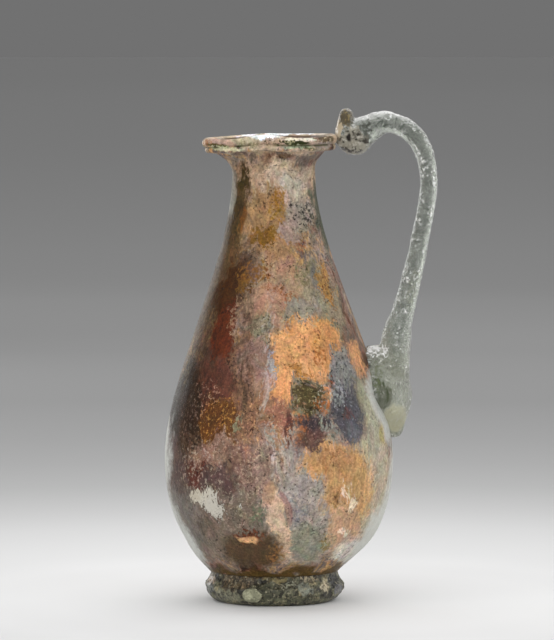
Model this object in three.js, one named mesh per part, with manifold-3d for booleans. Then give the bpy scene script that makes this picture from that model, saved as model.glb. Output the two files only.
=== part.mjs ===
// Miniature oinochoe: a small free-blown glass jug with a folded, pinched mouth, an applied coil foot and
// one drawn handle whose end is folded on the rim and pulled up into a thumb rest.
// Sizes are in millimetres and angles in degrees. +Z is up, the jug stands on z = 0, the spout points
// along -X and the handle along +X. Heights are measured from the table, radii from the foot's axis.
import * as THREE from "three";
import { mergeVertices } from "three/addons/utils/BufferGeometryUtils.js";
import Module from "manifold-3d";

// Blown body: the outline runs from the waist over the foot, round the belly and up into the neck.
const WAIST_RADIUS = 13.0;
const WAIST_FLARE_ANGLE = 52; // how steeply the body leaves the waist, above the horizontal
const WAIST_PULL = 2.5; // a pull is how far the outline's curve follows its tangent
const BELLY_RADIUS = 22.9;
const BELLY_HEIGHT = 28.0;
const BELLY_PULL_DOWN = 15.0;
const BELLY_PULL_UP = 16.5;
const NECK_RADIUS = 8.25;
const NECK_HEIGHT = 85.5; // where the neck is narrowest
const NECK_PULL = 17.0;
const BODY_WALL = 1.3;
const FLOOR_THICKNESS = 2.2;
const FLOOR_LEVEL_RADIUS = 6.5; // where the floor's rise into the wall begins
const BELLY_DRIFT = 1.0; // the soft bubble sagged this far towards the handle
const DRIFT_RISE = 8.0; // from the waist up to where it sagged in full

// Underside: a flat pad pushed up inside the foot.
const KICK_RISE = 1.2;
const KICK_RADIUS = 6.2;
const SEAT_CLEARANCE = 0.3; // from the flat seat's edge to the foot's bore

// Mouth: the bubble's edge opened out, folded over into a thick lip and pinched into three lobes.
const LIP_RADIUS = 13.6;
const LIP_RISE = 7.45; // from the narrowest part of the neck to the top of the lip
const LIP_WIDTH = 3.3;
const LIP_SPRING = 1.5; // level stretch of the flare under the fold
const UPPER_BEAD_RADIUS = 1.0; // the rolled edge
const LOWER_BEAD_RADIUS = 0.75; // the fold under it
const BEAD_SPACING = 1.4;
const BEAD_SETBACK = 0.5; // the lower bead's edge lies this far inside the upper one's
const FLARE_LAP = 0.1; // the flare ends this far below the lower bead
const FLARE_PULL_UP = 2.4;
const FLARE_PULL_OUT = 2.0;
const WORKED_NECK = 1.0; // the pinching reaches this far below the narrowest part of the neck
const SPOUT_REACH = 0.8;
const SPOUT_SPREAD = 38;
const HANDLE_DENT = 0.8; // the handle pressed the lip in this far
const DENT_SPREAD = 40;
const PINCH_DEPTH = 6.1;
const PINCH_ANGLE = 104; // from the handle's side, on both sides
const PINCH_SPREAD_BACK = 27;
const PINCH_SPREAD_SPOUT = 36;
const PINCH_LIFT = 0.4;
const MOUTH_TILT = 1.8; // the spout lies lower than the handle's side

// Foot: a coil of glass wound round the base and tooled to a ridge.
const FOOT_HEIGHT = 6.0; // table to waist
const FOOT_RADIUS = 14.0;
const FOOT_RIDGE_HEIGHT = 3.4;
const FOOT_WALL = 5.2; // from the bore to the ridge
const TREAD_RADIUS = 10.7; // middle of the flat that the jug stands on
const TREAD_WIDTH = 1.4;
const FOOT_SHOULDER = 0.3; // the foot's seat ends this far inside the waist
const TREAD_SLOPE_ANGLE = 8; // how steeply the outside leaves the tread, above the horizontal
const TREAD_PULL = 1.4;
const RIDGE_PULL_DOWN = 1.6;
const RIDGE_PULL_UP = 1.43;
const FOOT_WOBBLE = 0.28;
const FOOT_WAVES = [
  { count: 3, phase: -0.7, share: 0.6 },
  { count: 7, phase: -2.1, share: 0.4 },
];

// Scar left on the underside by the iron that held the jug while its mouth was worked.
const PONTIL_RADIUS = 4.6;
const PONTIL_WIDTH = 1.1;
const PONTIL_HEIGHT = 0.8;
const PONTIL_TAPER = 0.2; // it narrows by this on both sides
const PONTIL_JAG = 0.2;
const PONTIL_WAVES = [
  { count: 5, phase: 0, share: 0.5 },
  { count: 8, phase: 1.3, share: 0.5 },
];

// Handle: a gather of glass dropped on the body as a claw, from which a coil is drawn up, bent over and
// pressed on the rim. A standoff is how far the glass's middle lies outside the body's surface.
const CLAW_TIP_HEIGHT = 34.6;
const CLAW_TIP_STANDOFF = 0.8;
const CLAW_TIP_HALF_THICKNESS = 2.2;
const CLAW_TIP_HALF_WIDTH = 3.2;
const CLAW_HEIGHT = 41.0; // where it is widest
const CLAW_STANDOFF = 1.6;
const CLAW_HALF_THICKNESS = 4.5;
const CLAW_HALF_WIDTH = 8.0;
const CLAW_LAP = 3.2; // its sides lie back by this round the body
const SHELF_HEIGHT = 51.2; // the claw's top, behind the coil
const SHELF_STANDOFF = 2.7;
const SHELF_HALF_THICKNESS = 3.7;
const SHELF_HALF_WIDTH = 5.0;
const COIL_START_HEIGHT = 44.5; // within the claw
const COIL_START_STANDOFF = 3.0;
const COIL_START_HALF_THICKNESS = 3.6;
const COIL_START_HALF_WIDTH = 4.2;
const THROAT_HEIGHT = 53.8; // just above the shelf
const THROAT_STANDOFF = 7.6;
const THROAT_HALF_THICKNESS = 2.9;
const THROAT_HALF_WIDTH = 3.6;
const SHAFT_STATIONS = [0.14, 0.55]; // shares of the way from the throat to the elbow
const SHAFT_SWELLS = [0.55, 0.1]; // how much thicker the shaft is there than at its thinnest
const SHAFT_HALF_THICKNESS = 1.8;
const SHAFT_HALF_WIDTH = 2.35;
const HANDLE_REACH = 30.9; // the coil's middle, at its furthest from the foot's axis
const ELBOW_DROP = 8.95; // from the lip's top down to there
const SHAFT_BOW = 0.7; // outward bow of the shaft between the throat and the elbow
const CREST_REACH = 22.4;
const CREST_RISE = 2.65; // the coil's middle above the lip's top, at the crest
const CREST_HALF_THICKNESS = 2.25;
const SHOULDER_ROUNDNESS = 0.72; // 0.71 bends like a circle, more is squarer

// Fold on the rim, and the thumb rest pulled up from it.
const FOLD_RADIUS = 3.7;
const FOLD_HALF_WIDTH = 3.2;
const FOLD_OVERHANG = 3.3; // from the lip's edge out to the fold's middle
const FOLD_DROP = 0.75; // from the lip's top there down to the fold's middle
const THUMB_RISE = 5.5; // the thumb rest's top above the lip's top
const THUMB_LEAN = 0.2;
const THUMB_SETBACK = 1.9; // from the fold's middle in to the thumb rest
const THUMB_BASE_HALF = 2.3;
const THUMB_HALF_THICKNESS = 1.5;
const THUMB_HALF_WIDTH = 2.3;
const FOLD_EYE_RADIUS = 0.65; // the pit where the coil turns on itself
const FOLD_EYE_HALF_HEIGHT = 1.05;
const FOLD_EYE_DEPTH = 1.0;

// Lump of lime from the ground, stuck to the outside of the foot.
const LIME_HALF_WIDTH = 2.1;
const LIME_HALF_HEIGHT = 1.5;
const LIME_HALF_DEPTH = 1.3;
const LIME_PROUD = 0.5; // its middle lies this far outside the foot's surface
const LIME_ANGLE = 252; // round the foot, from the handle's side
const LIME_LIFT = 0.8; // its underside above the table
const LIME_LUMPINESS = 0.09;
const LIME_LUMPS = new THREE.Vector3(3.1, 4.0, 2.7); // more is more and smaller lumps, each way

const FUSE_GAP = 0.3; // left between pieces that are fused to a curved surface
const ROUND_SEGMENTS = 48;
const COIL_SEGMENTS = 20;
const CLAW_STEPS = 10;
const COIL_STEPS = 40;
const THUMB_STEPS = 6;

const LIP_TOP = NECK_HEIGHT + LIP_RISE;
const UNDERSIDE_HEIGHT = FOOT_HEIGHT + KICK_RISE;
const FOOT_BORE = FOOT_RADIUS - FOOT_WALL;

const wasm = await Module();
wasm.setup();

const point = (x, y) => new THREE.Vector2(x, y);
const radians = THREE.MathUtils.degToRad;
const { lerp, smoothstep } = THREE.MathUtils;
const bell = (distance, spread) => Math.exp(-((distance / spread) ** 2));
const rippled = (waves, direction) =>
  waves.reduce((sum, wave) => sum + wave.share * Math.sin(wave.count * direction + wave.phase), 0);

// Outline of the blown body, as radius and height, from the waist to the underside of the lip.
const beadCentres = {
  upper: point(LIP_RADIUS - UPPER_BEAD_RADIUS, LIP_TOP - UPPER_BEAD_RADIUS),
  lower: point(
    LIP_RADIUS - BEAD_SETBACK - LOWER_BEAD_RADIUS,
    LIP_TOP - UPPER_BEAD_RADIUS - BEAD_SPACING,
  ),
};
const lipUnderside = beadCentres.lower.y - LOWER_BEAD_RADIUS;
const flareEnd = point(beadCentres.lower.x - LIP_SPRING, lipUnderside - FLARE_LAP);
const waistSlope = point(Math.cos(radians(WAIST_FLARE_ANGLE)), Math.sin(radians(WAIST_FLARE_ANGLE)));
const waist = point(WAIST_RADIUS, FOOT_HEIGHT);
const belly = point(BELLY_RADIUS, BELLY_HEIGHT);
const neck = point(NECK_RADIUS, NECK_HEIGHT);
const lowerBody = new THREE.CubicBezierCurve(
  waist,
  waist.clone().addScaledVector(waistSlope, WAIST_PULL),
  point(BELLY_RADIUS, BELLY_HEIGHT - BELLY_PULL_DOWN),
  belly,
);
const upperBody = new THREE.CubicBezierCurve(
  belly,
  point(BELLY_RADIUS, BELLY_HEIGHT + BELLY_PULL_UP),
  point(NECK_RADIUS, NECK_HEIGHT - NECK_PULL),
  neck,
);
const flare = new THREE.CubicBezierCurve(
  neck,
  point(NECK_RADIUS, NECK_HEIGHT + FLARE_PULL_UP),
  flareEnd.clone().addScaledVector(point(-1, -1).normalize(), FLARE_PULL_OUT),
  flareEnd,
);

// Points along a curve, moved sideways by a distance: outwards where it is positive.
function alongside(curve, steps, distance) {
  return Array.from({ length: steps + 1 }, (_, i) => {
    const tangent = curve.getTangent(i / steps);
    return curve.getPoint(i / steps).add(point(tangent.y, -tangent.x).multiplyScalar(distance));
  });
}

function arc(centre, radius, from, to, steps) {
  return Array.from({ length: steps + 1 }, (_, i) => {
    const angle = radians(lerp(from, to, i / steps));
    return centre.clone().add(point(radius * Math.cos(angle), radius * Math.sin(angle)));
  });
}

// The two beads meet in a crease, where circles round their centres cross.
function creaseAngles(upperRadius, lowerRadius) {
  const between = beadCentres.upper.clone().sub(beadCentres.lower);
  const distance = between.length();
  const along = (distance ** 2 + lowerRadius ** 2 - upperRadius ** 2) / (2 * distance);
  const lean = THREE.MathUtils.radToDeg(between.angle());
  const fromLower = THREE.MathUtils.radToDeg(Math.acos(along / lowerRadius));
  const fromUpper = THREE.MathUtils.radToDeg(Math.acos((distance - along) / upperRadius));
  return { lower: lean - fromLower, upper: lean - 180 + fromUpper };
}

function withoutRepeats(points) {
  return points.filter((p, i) => i === 0 || p.distanceTo(points[i - 1]) > 0.02);
}

// Cut through the vessel's wall. A growth makes it thicker all over, as a cutter for what is fused to it.
function vesselSection(growth = 0) {
  const upperRadius = UPPER_BEAD_RADIUS + growth;
  const lowerRadius = LOWER_BEAD_RADIUS + growth;
  const crease = creaseAngles(upperRadius, lowerRadius);
  const inside = -(BODY_WALL + growth);
  const funnel = alongside(flare, 4, inside).reverse();
  const rolledTop = new THREE.QuadraticBezierCurve(
    point(beadCentres.upper.x, LIP_TOP + growth),
    point(LIP_RADIUS - LIP_WIDTH, LIP_TOP + growth),
    funnel[0],
  );
  const floorHeight = UNDERSIDE_HEIGHT + FLOOR_THICKNESS + growth;
  const innerWall = alongside(lowerBody, 7, inside)
    .reverse()
    .filter((p) => p.y > floorHeight + BODY_WALL);
  const wallEnd = innerWall.at(-1);
  const wallSlope = wallEnd.clone().sub(innerWall.at(-2));
  const floorEdge = wallEnd.x + ((floorHeight - wallEnd.y) / wallSlope.y) * wallSlope.x;
  const floor = new THREE.QuadraticBezierCurve(
    wallEnd,
    point(floorEdge, floorHeight),
    point(FLOOR_LEVEL_RADIUS, floorHeight),
  );
  return withoutRepeats([
    point(0, UNDERSIDE_HEIGHT - growth),
    point(KICK_RADIUS, UNDERSIDE_HEIGHT - growth),
    point(FOOT_BORE - SEAT_CLEARANCE, FOOT_HEIGHT - growth),
    point(WAIST_RADIUS - FOOT_SHOULDER / 3, FOOT_HEIGHT - growth),
    ...alongside(lowerBody, 9, growth),
    ...alongside(upperBody, 15, growth),
    ...alongside(flare, 5, growth),
    ...arc(beadCentres.lower, lowerRadius, -90, crease.lower, 4),
    ...arc(beadCentres.upper, upperRadius, crease.upper, 90, 5),
    ...rolledTop.getPoints(4),
    ...funnel,
    ...alongside(upperBody, 12, inside).reverse(),
    ...innerWall,
    ...floor.getPoints(4),
    point(0, floorHeight),
  ]);
}

// How far a direction, in degrees from the handle, is pinched in: 1 at the bottom of the pinch.
function pinchAt(angle) {
  const spread = angle < PINCH_ANGLE ? PINCH_SPREAD_BACK : PINCH_SPREAD_SPOUT;
  return bell(angle - PINCH_ANGLE, spread);
}

function lipShift(angle) {
  const spout = SPOUT_REACH * bell(angle - 180, SPOUT_SPREAD);
  const dent = HANDLE_DENT * bell(angle, DENT_SPREAD);
  return spout - dent - PINCH_DEPTH * pinchAt(angle);
}

// How far the bubble sagged towards the handle at a height.
function driftAt(height) {
  const sagged = smoothstep(height, FOOT_HEIGHT, FOOT_HEIGHT + DRIFT_RISE);
  return BELLY_DRIFT * (sagged - smoothstep(height, BELLY_HEIGHT, NECK_HEIGHT));
}

// Turns the round vessel into the real one: the mouth is shaped and tilted, and the belly sags.
function workHot(geometry) {
  const positions = geometry.attributes.position;
  for (let i = 0; i < positions.count; i += 1) {
    const p = new THREE.Vector3().fromBufferAttribute(positions, i);
    const radius = Math.hypot(p.x, p.y);
    const direction = Math.atan2(p.y, p.x);
    const angle = Math.abs(THREE.MathUtils.radToDeg(direction));
    const worked = smoothstep(p.z, NECK_HEIGHT - WORKED_NECK, beadCentres.upper.y);
    const newRadius = radius + worked * lipShift(angle);
    const x = newRadius * Math.cos(direction);
    const lift = PINCH_LIFT * pinchAt(angle) + x * Math.tan(radians(MOUTH_TILT));
    positions.setXYZ(i, x + driftAt(p.z), newRadius * Math.sin(direction), p.z + worked * lift);
  }
  return geometry;
}

// A section turned round the upright axis. A lathe runs round +Y, so it is stood up.
function turned(section, segments = ROUND_SEGMENTS) {
  return new THREE.LatheGeometry(section, segments).rotateX(Math.PI / 2);
}

// What the handle is cut by: the vessel grown by the fusing gap, with its body filled.
function makeVesselCutter() {
  const outline = [...alongside(lowerBody, 9, 0), ...alongside(upperBody, 15, 0)];
  const filled = outline.filter((p) => p.y < NECK_HEIGHT - WORKED_NECK);
  const filling = turned(withoutRepeats([point(0, FOOT_HEIGHT), ...filled, point(0, filled.at(-1).y)]));
  return asSolid(workHot(turned(vesselSection(FUSE_GAP)))).add(asSolid(workHot(filling)));
}

// Keeps only the places of a geometry's corners and joins those that coincide.
function welded(geometry) {
  const bare = geometry.clone();
  bare.deleteAttribute("normal");
  bare.deleteAttribute("uv");
  return mergeVertices(bare, 1e-4);
}

function asSolid(geometry) {
  const closed = welded(geometry);
  return new wasm.Manifold(
    new wasm.Mesh({
      numProp: 3,
      vertProperties: new Float32Array(closed.attributes.position.array),
      triVerts: new Uint32Array(closed.index.array),
    }),
  );
}

function asGeometry(solid) {
  const mesh = solid.getMesh();
  const geometry = new THREE.BufferGeometry();
  geometry.setAttribute("position", new THREE.BufferAttribute(new Float32Array(mesh.vertProperties), 3));
  geometry.setIndex(new THREE.BufferAttribute(new Uint32Array(mesh.triVerts), 1));
  geometry.computeVertexNormals();
  return geometry;
}

// The body's radius at a height, on the handle's side, drift included.
function bodySurface(height) {
  const curve = height < BELLY_HEIGHT ? lowerBody : upperBody;
  const points = curve.getPoints(200);
  const next = points.findIndex((p) => p.y >= height);
  const [below, above] = [points[Math.max(next - 1, 0)], points[next]];
  const radius = lerp(below.x, above.x, (height - below.y) / Math.max(above.y - below.y, 1e-6));
  return radius + driftAt(height);
}

// A coil of glass along a route in the XZ plane. Its girth gives the half thickness in that plane and
// the half width across it, at the same places. A capsule is bent along the route, so its ends are round.
// Its sides lie back towards the body's axis by the lap.
function coil(route, girth, steps, lap = 0) {
  const geometry = new THREE.CapsuleGeometry(1, 1, 4, COIL_SEGMENTS, steps);
  const positions = geometry.attributes.position;
  for (let i = 0; i < positions.count; i += 1) {
    const p = new THREE.Vector3().fromBufferAttribute(positions, i);
    const t = THREE.MathUtils.clamp(p.y + 0.5, 0, 1);
    const beyond = p.y + 0.5 - t;
    const centre = route.getPoint(t);
    const tangent = route.getTangent(t);
    const half = girth.getPoint(t);
    positions.setXYZ(
      i,
      centre.x + tangent.x * beyond * half.x + tangent.y * p.x * half.x - lap * p.z ** 2,
      -p.z * half.y,
      centre.y + tangent.y * beyond * half.x - tangent.x * p.x * half.x,
    );
  }
  return geometry;
}

function makeHandle(vesselCutter) {
  const lipEdge = LIP_RADIUS - HANDLE_DENT;
  const lipHeight = LIP_TOP + lipEdge * Math.tan(radians(MOUTH_TILT));
  const foldMiddle = point(lipEdge + FOLD_OVERHANG, lipHeight - FOLD_DROP);
  const elbow = point(HANDLE_REACH, LIP_TOP - ELBOW_DROP);
  const crest = point(CREST_REACH, LIP_TOP + CREST_RISE);
  const shoulder = point(
    lerp(crest.x, elbow.x, SHOULDER_ROUNDNESS),
    lerp(elbow.y, crest.y, SHOULDER_ROUNDNESS),
  );
  const tip = point(bodySurface(CLAW_TIP_HEIGHT) + CLAW_TIP_STANDOFF, CLAW_TIP_HEIGHT);
  const claw = point(bodySurface(CLAW_HEIGHT) + CLAW_STANDOFF, CLAW_HEIGHT);
  const shelf = point(
    bodySurface(SHELF_HEIGHT - SHELF_HALF_THICKNESS) + SHELF_STANDOFF,
    SHELF_HEIGHT - SHELF_HALF_THICKNESS,
  );
  const clawRoute = new THREE.SplineCurve([tip, claw, shelf]);
  const clawGirth = new THREE.SplineCurve([
    point(CLAW_TIP_HALF_THICKNESS, CLAW_TIP_HALF_WIDTH),
    point(CLAW_HALF_THICKNESS, CLAW_HALF_WIDTH),
    point(SHELF_HALF_THICKNESS, SHELF_HALF_WIDTH),
  ]);
  const start = point(bodySurface(COIL_START_HEIGHT) + COIL_START_STANDOFF, COIL_START_HEIGHT);
  const throat = point(bodySurface(THROAT_HEIGHT) + THROAT_STANDOFF, THROAT_HEIGHT);
  const shaft = SHAFT_STATIONS.map((share) =>
    throat.clone().lerp(elbow, share).add(point(SHAFT_BOW * Math.sin(Math.PI * share), 0)),
  );
  const route = new THREE.SplineCurve([start, throat, ...shaft, elbow, shoulder, crest, foldMiddle]);
  const girth = new THREE.SplineCurve([
    point(COIL_START_HALF_THICKNESS, COIL_START_HALF_WIDTH),
    point(THROAT_HALF_THICKNESS, THROAT_HALF_WIDTH),
    ...SHAFT_SWELLS.map((swell) => point(SHAFT_HALF_THICKNESS + swell, SHAFT_HALF_WIDTH + swell)),
    point(SHAFT_HALF_THICKNESS, SHAFT_HALF_WIDTH),
    point((SHAFT_HALF_THICKNESS + CREST_HALF_THICKNESS) / 2, SHAFT_HALF_WIDTH),
    point(CREST_HALF_THICKNESS, SHAFT_HALF_WIDTH),
    point(FOLD_RADIUS, FOLD_HALF_WIDTH),
  ]);
  const thumbBase = foldMiddle.clone().add(point(-THUMB_SETBACK, 0));
  const thumbTop = point(thumbBase.x + THUMB_LEAN, LIP_TOP + THUMB_RISE - THUMB_HALF_THICKNESS);
  const thumbRoute = new THREE.LineCurve(thumbBase, thumbTop);
  const thumbGirth = new THREE.LineCurve(
    point(THUMB_BASE_HALF, FOLD_HALF_WIDTH),
    point(THUMB_HALF_THICKNESS, THUMB_HALF_WIDTH),
  );
  let solid = asSolid(coil(clawRoute, clawGirth, CLAW_STEPS, CLAW_LAP))
    .add(asSolid(coil(route, girth, COIL_STEPS)))
    .add(asSolid(coil(thumbRoute, thumbGirth, THUMB_STEPS)));
  for (const side of [-1, 1]) {
    const eye = new THREE.SphereGeometry(1, 12, 8)
      .scale(FOLD_EYE_RADIUS, FOLD_EYE_DEPTH, FOLD_EYE_HALF_HEIGHT)
      .translate(thumbBase.x, side * FOLD_HALF_WIDTH, thumbBase.y);
    solid = solid.subtract(asSolid(eye));
  }
  return asGeometry(solid.subtract(vesselCutter));
}

// Cut through the foot. A growth makes it thicker all over, as for the vessel.
function footSection(growth = 0) {
  const seatEdge = WAIST_RADIUS - FOOT_SHOULDER;
  const treadInside = TREAD_RADIUS - TREAD_WIDTH / 2;
  const treadOutside = TREAD_RADIUS + TREAD_WIDTH / 2;
  const tread = point(treadOutside, -growth);
  const treadSlope = point(Math.cos(radians(TREAD_SLOPE_ANGLE)), Math.sin(radians(TREAD_SLOPE_ANGLE)));
  const ridge = point(FOOT_RADIUS + growth, FOOT_RIDGE_HEIGHT);
  const outside = new THREE.CubicBezierCurve(
    tread,
    tread.clone().addScaledVector(treadSlope, TREAD_PULL),
    ridge.clone().add(point(0, -RIDGE_PULL_DOWN)),
    ridge,
  );
  const overRidge = new THREE.QuadraticBezierCurve(
    ridge,
    point(seatEdge + growth, FOOT_RIDGE_HEIGHT + RIDGE_PULL_UP),
    point(seatEdge + growth, FOOT_HEIGHT + growth),
  );
  const bore = new THREE.QuadraticBezierCurve(
    point(FOOT_BORE - growth, FOOT_HEIGHT + growth),
    point(FOOT_BORE - growth, FOOT_RIDGE_HEIGHT / 2),
    point(treadInside, -growth),
  );
  return withoutRepeats([
    ...outside.getPoints(6),
    ...overRidge.getPoints(4),
    ...bore.getPoints(5),
    tread,
  ]);
}

// A hand-wound coil is never quite round between its flat seat and its flat tread.
function wobbled(geometry) {
  const positions = geometry.attributes.position;
  for (let i = 0; i < positions.count; i += 1) {
    const p = new THREE.Vector3().fromBufferAttribute(positions, i);
    const direction = Math.atan2(p.y, p.x);
    const free = Math.sin(Math.PI * THREE.MathUtils.clamp(p.z / FOOT_HEIGHT, 0, 1));
    const stretch = 1 + (FOOT_WOBBLE * free * rippled(FOOT_WAVES, direction)) / FOOT_RADIUS;
    positions.setXYZ(i, p.x * stretch, p.y * stretch, p.z);
  }
  return geometry;
}

function makePontilScar() {
  const inner = PONTIL_RADIUS - PONTIL_WIDTH / 2;
  const outer = PONTIL_RADIUS + PONTIL_WIDTH / 2;
  const bottom = UNDERSIDE_HEIGHT - PONTIL_HEIGHT;
  const geometry = turned([
    point(inner, UNDERSIDE_HEIGHT),
    point(inner + PONTIL_TAPER, bottom),
    point(outer - PONTIL_TAPER, bottom),
    point(outer, UNDERSIDE_HEIGHT),
    point(inner, UNDERSIDE_HEIGHT),
  ], 32);
  const positions = geometry.attributes.position;
  for (let i = 0; i < positions.count; i += 1) {
    if (positions.getZ(i) < UNDERSIDE_HEIGHT - PONTIL_HEIGHT / 2) {
      const direction = Math.atan2(positions.getY(i), positions.getX(i));
      positions.setZ(i, positions.getZ(i) + PONTIL_JAG * rippled(PONTIL_WAVES, direction));
    }
  }
  return geometry;
}

function makeLimeLump(footCutter) {
  const height = LIME_LIFT + LIME_HALF_HEIGHT;
  const outline = footSection().filter((p) => p.x > TREAD_RADIUS && p.y <= FOOT_RIDGE_HEIGHT);
  const above = outline.findIndex((p) => p.y >= height);
  const [low, high] = [outline[above - 1], outline[above]];
  const surface = lerp(low.x, high.x, (height - low.y) / (high.y - low.y));
  const geometry = new THREE.SphereGeometry(1, 14, 10);
  const positions = geometry.attributes.position;
  for (let i = 0; i < positions.count; i += 1) {
    const p = new THREE.Vector3().fromBufferAttribute(positions, i);
    const lumps = Math.sin(LIME_LUMPS.x * p.x) * Math.cos(LIME_LUMPS.y * p.y + LIME_LUMPS.z * p.z);
    p.multiplyScalar(1 - LIME_LUMPINESS * (1 + lumps));
    positions.setXYZ(i, p.x, p.y, p.z);
  }
  geometry
    .scale(LIME_HALF_DEPTH, LIME_HALF_WIDTH, LIME_HALF_HEIGHT)
    .translate(surface + LIME_PROUD, 0, height)
    .rotateZ(radians(LIME_ANGLE));
  return asGeometry(asSolid(geometry).subtract(footCutter));
}

const finishes = {
  weatheredGlass: new THREE.MeshStandardMaterial({ color: "#9a7f6c", roughness: 0.38, metalness: 0 }),
  clearGlass: new THREE.MeshStandardMaterial({ color: "#b3bdb9", roughness: 0.15, metalness: 0 }),
  pittedGlass: new THREE.MeshStandardMaterial({ color: "#5f5c4e", roughness: 0.55, metalness: 0 }),
  brokenGlass: new THREE.MeshStandardMaterial({ color: "#8f9a8f", roughness: 0.3, metalness: 0 }),
  lime: new THREE.MeshStandardMaterial({ color: "#c9c6b4", roughness: 0.9, metalness: 0 }),
};

const jug = new THREE.Group();
function addPiece(name, geometry, material) {
  const mesh = new THREE.Mesh(geometry, material);
  mesh.name = name;
  jug.add(mesh);
}

const vesselCutter = makeVesselCutter();
const footCutter = asSolid(wobbled(turned(footSection(FUSE_GAP))));
addPiece("blown_vessel", welded(workHot(turned(vesselSection()))), finishes.weatheredGlass);
addPiece("foot_ring", welded(wobbled(turned(footSection()))), finishes.pittedGlass);
addPiece("handle", makeHandle(vesselCutter), finishes.clearGlass);
addPiece("pontil_scar", welded(makePontilScar()), finishes.brokenGlass);
addPiece("lime_lump", makeLimeLump(footCutter), finishes.lime);

// The origin is the middle of the whole jug's footprint, on the table.
const middle = new THREE.Box3().setFromObject(jug).getCenter(new THREE.Vector3());
jug.position.set(-middle.x, -middle.y, 0);

export default jug;
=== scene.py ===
"""Looks of a small blown-glass jug that was long buried: a pear-shaped body under a weathering film, a pitted
coil foot, a drawn handle with a thumb rest, the broken ring under the floor and a lump of lime on the foot.

Shapes are worked out in millimetres from the foot's upright axis, with the handle on the +X side and the
photographed side facing -Y, and are brought to the part's frame in metres when a piece is finished.
"""

from math import acos, atan2, cos, degrees, exp, hypot, pi, radians, sin, sqrt, tan, tau

import bmesh
import bpy
from mathutils import Matrix, Vector
from mathutils.bvhtree import BVHTree
from mathutils.geometry import interpolate_bezier
from mathutils.noise import fractal, noise


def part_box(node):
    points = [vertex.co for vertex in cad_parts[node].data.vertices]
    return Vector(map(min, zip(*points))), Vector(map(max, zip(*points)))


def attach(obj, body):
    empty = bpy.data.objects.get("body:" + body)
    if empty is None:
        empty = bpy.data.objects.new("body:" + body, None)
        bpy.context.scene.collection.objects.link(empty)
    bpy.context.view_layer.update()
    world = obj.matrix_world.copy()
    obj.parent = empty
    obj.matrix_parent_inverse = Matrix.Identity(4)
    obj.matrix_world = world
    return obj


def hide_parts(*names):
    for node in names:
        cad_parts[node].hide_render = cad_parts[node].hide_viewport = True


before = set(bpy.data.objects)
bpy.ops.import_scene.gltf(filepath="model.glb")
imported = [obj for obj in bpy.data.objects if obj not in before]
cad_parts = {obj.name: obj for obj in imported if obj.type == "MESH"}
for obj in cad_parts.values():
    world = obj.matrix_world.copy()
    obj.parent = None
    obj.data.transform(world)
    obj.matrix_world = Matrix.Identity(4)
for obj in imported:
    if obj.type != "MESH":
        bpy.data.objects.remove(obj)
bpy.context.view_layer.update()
scene = bpy.context.scene

MM = 0.001
scar_low, scar_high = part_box("pontil_scar")
AXIS_X = (scar_low.x + scar_high.x) / 2


def at(radius, height):
    """A place on an outline of the round jug."""
    return Vector((radius, 0, height))


# Blown body: places on its outline, and the pulls of the curves between them
WAIST, WAIST_PULL = at(13.0, 6.0), at(14.54, 7.97)
BELLY_PULL_LOW, BELLY, BELLY_PULL_HIGH = at(22.9, 13.0), at(22.9, 28.0), at(22.9, 44.5)
NECK_PULL_LOW, NECK, NECK_PULL_HIGH = at(8.25, 68.5), at(8.25, 85.5), at(8.25, 87.9)
FLARE_PULL, FLARE_END = at(9.44, 88.29), at(10.85, 89.7)
UNDERSIDE = (at(0, 7.2), at(3, 7.2), at(6.2, 7.2), at(8.5, 6.0), at(12.9, 6.0))
BODY_WALL = 1.3
FLOOR_HEIGHT = 9.4
FLOOR_FLAT = 6.5  # radius of the level part of the floor inside
FLOOR_ROUND_IN, FLOOR_ROUND_UP = 1.6, 1.3  # where the wall bends into the floor
FLOOR_MIDDLE = 8.0  # a height within the floor's glass
BELLY_DRIFT = 1.0  # how far the soft bubble sagged towards the handle
DRIFT_FULL = 14  # height from which it did so fully
UNEVEN_FROM = (7, 14)  # heights over which the wall comes free of the coil that kept it round
SLOW_WAVES = (0.16, 0.11)  # unevenness of the blown wall: height, and waves to a millimetre
FINE_WAVES = (0.05, 0.45)

# Mouth: a lip of two rolled beads with a crease between them, pinched in at both sides
LIP_RADIUS = 13.6
LIP_FROM, LIP_TOP = 90, 92.95
LIP_WIDTH = 3.3
UPPER_BEAD, UPPER_CENTRE = 1.0, at(12.6, 91.95)
LOWER_BEAD, LOWER_CENTRE = 0.75, at(12.35, 90.55)
CREASE_WIDTH = 0.3
MOUTH_RADIUS = 11.7
MOUTH_DARK_DEPTH, MOUTH_DARK_EDGE = 0.2, 0.25  # how deep below the lip's top the mouth's painted shade starts
WORKED_FROM = 84.5
PINCH_ANGLE = 104
PINCH_SPREADS = (27, 36)  # in degrees, towards the handle and towards the spout
PINCH_DEPTH, PINCH_RISE = 6.1, 0.4
LOBE_STRETCH = 0.8  # how far the spout lobe was drawn out, and the one at the handle pushed in
SPOUT_SPREAD, BACK_SPREAD = 38, 40
MOUTH_TILT = 1.8
CREST_SAG = 0.45
CREST_SAGS = ((6, 4.5), (-8.5, 3.5))  # place along X, and spread
CREST_HEIGHTS, CREST_NEARNESS = (91, 92.6), (1, 5)  # over which the sag sets in, upwards and to the front

# Foot
FOOT_HEIGHT = 6.0
FOOT_BULGE = at(14, 3.4)
FOOT_MIDDLE = 11  # radius that parts its outside from its hollow
FOOT_WAVE, FOOT_ROUGH, FOOT_GRIT = 0.28, 0.34, 0.16  # of the hand-wound coil, of its pits, and of finer ones

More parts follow.
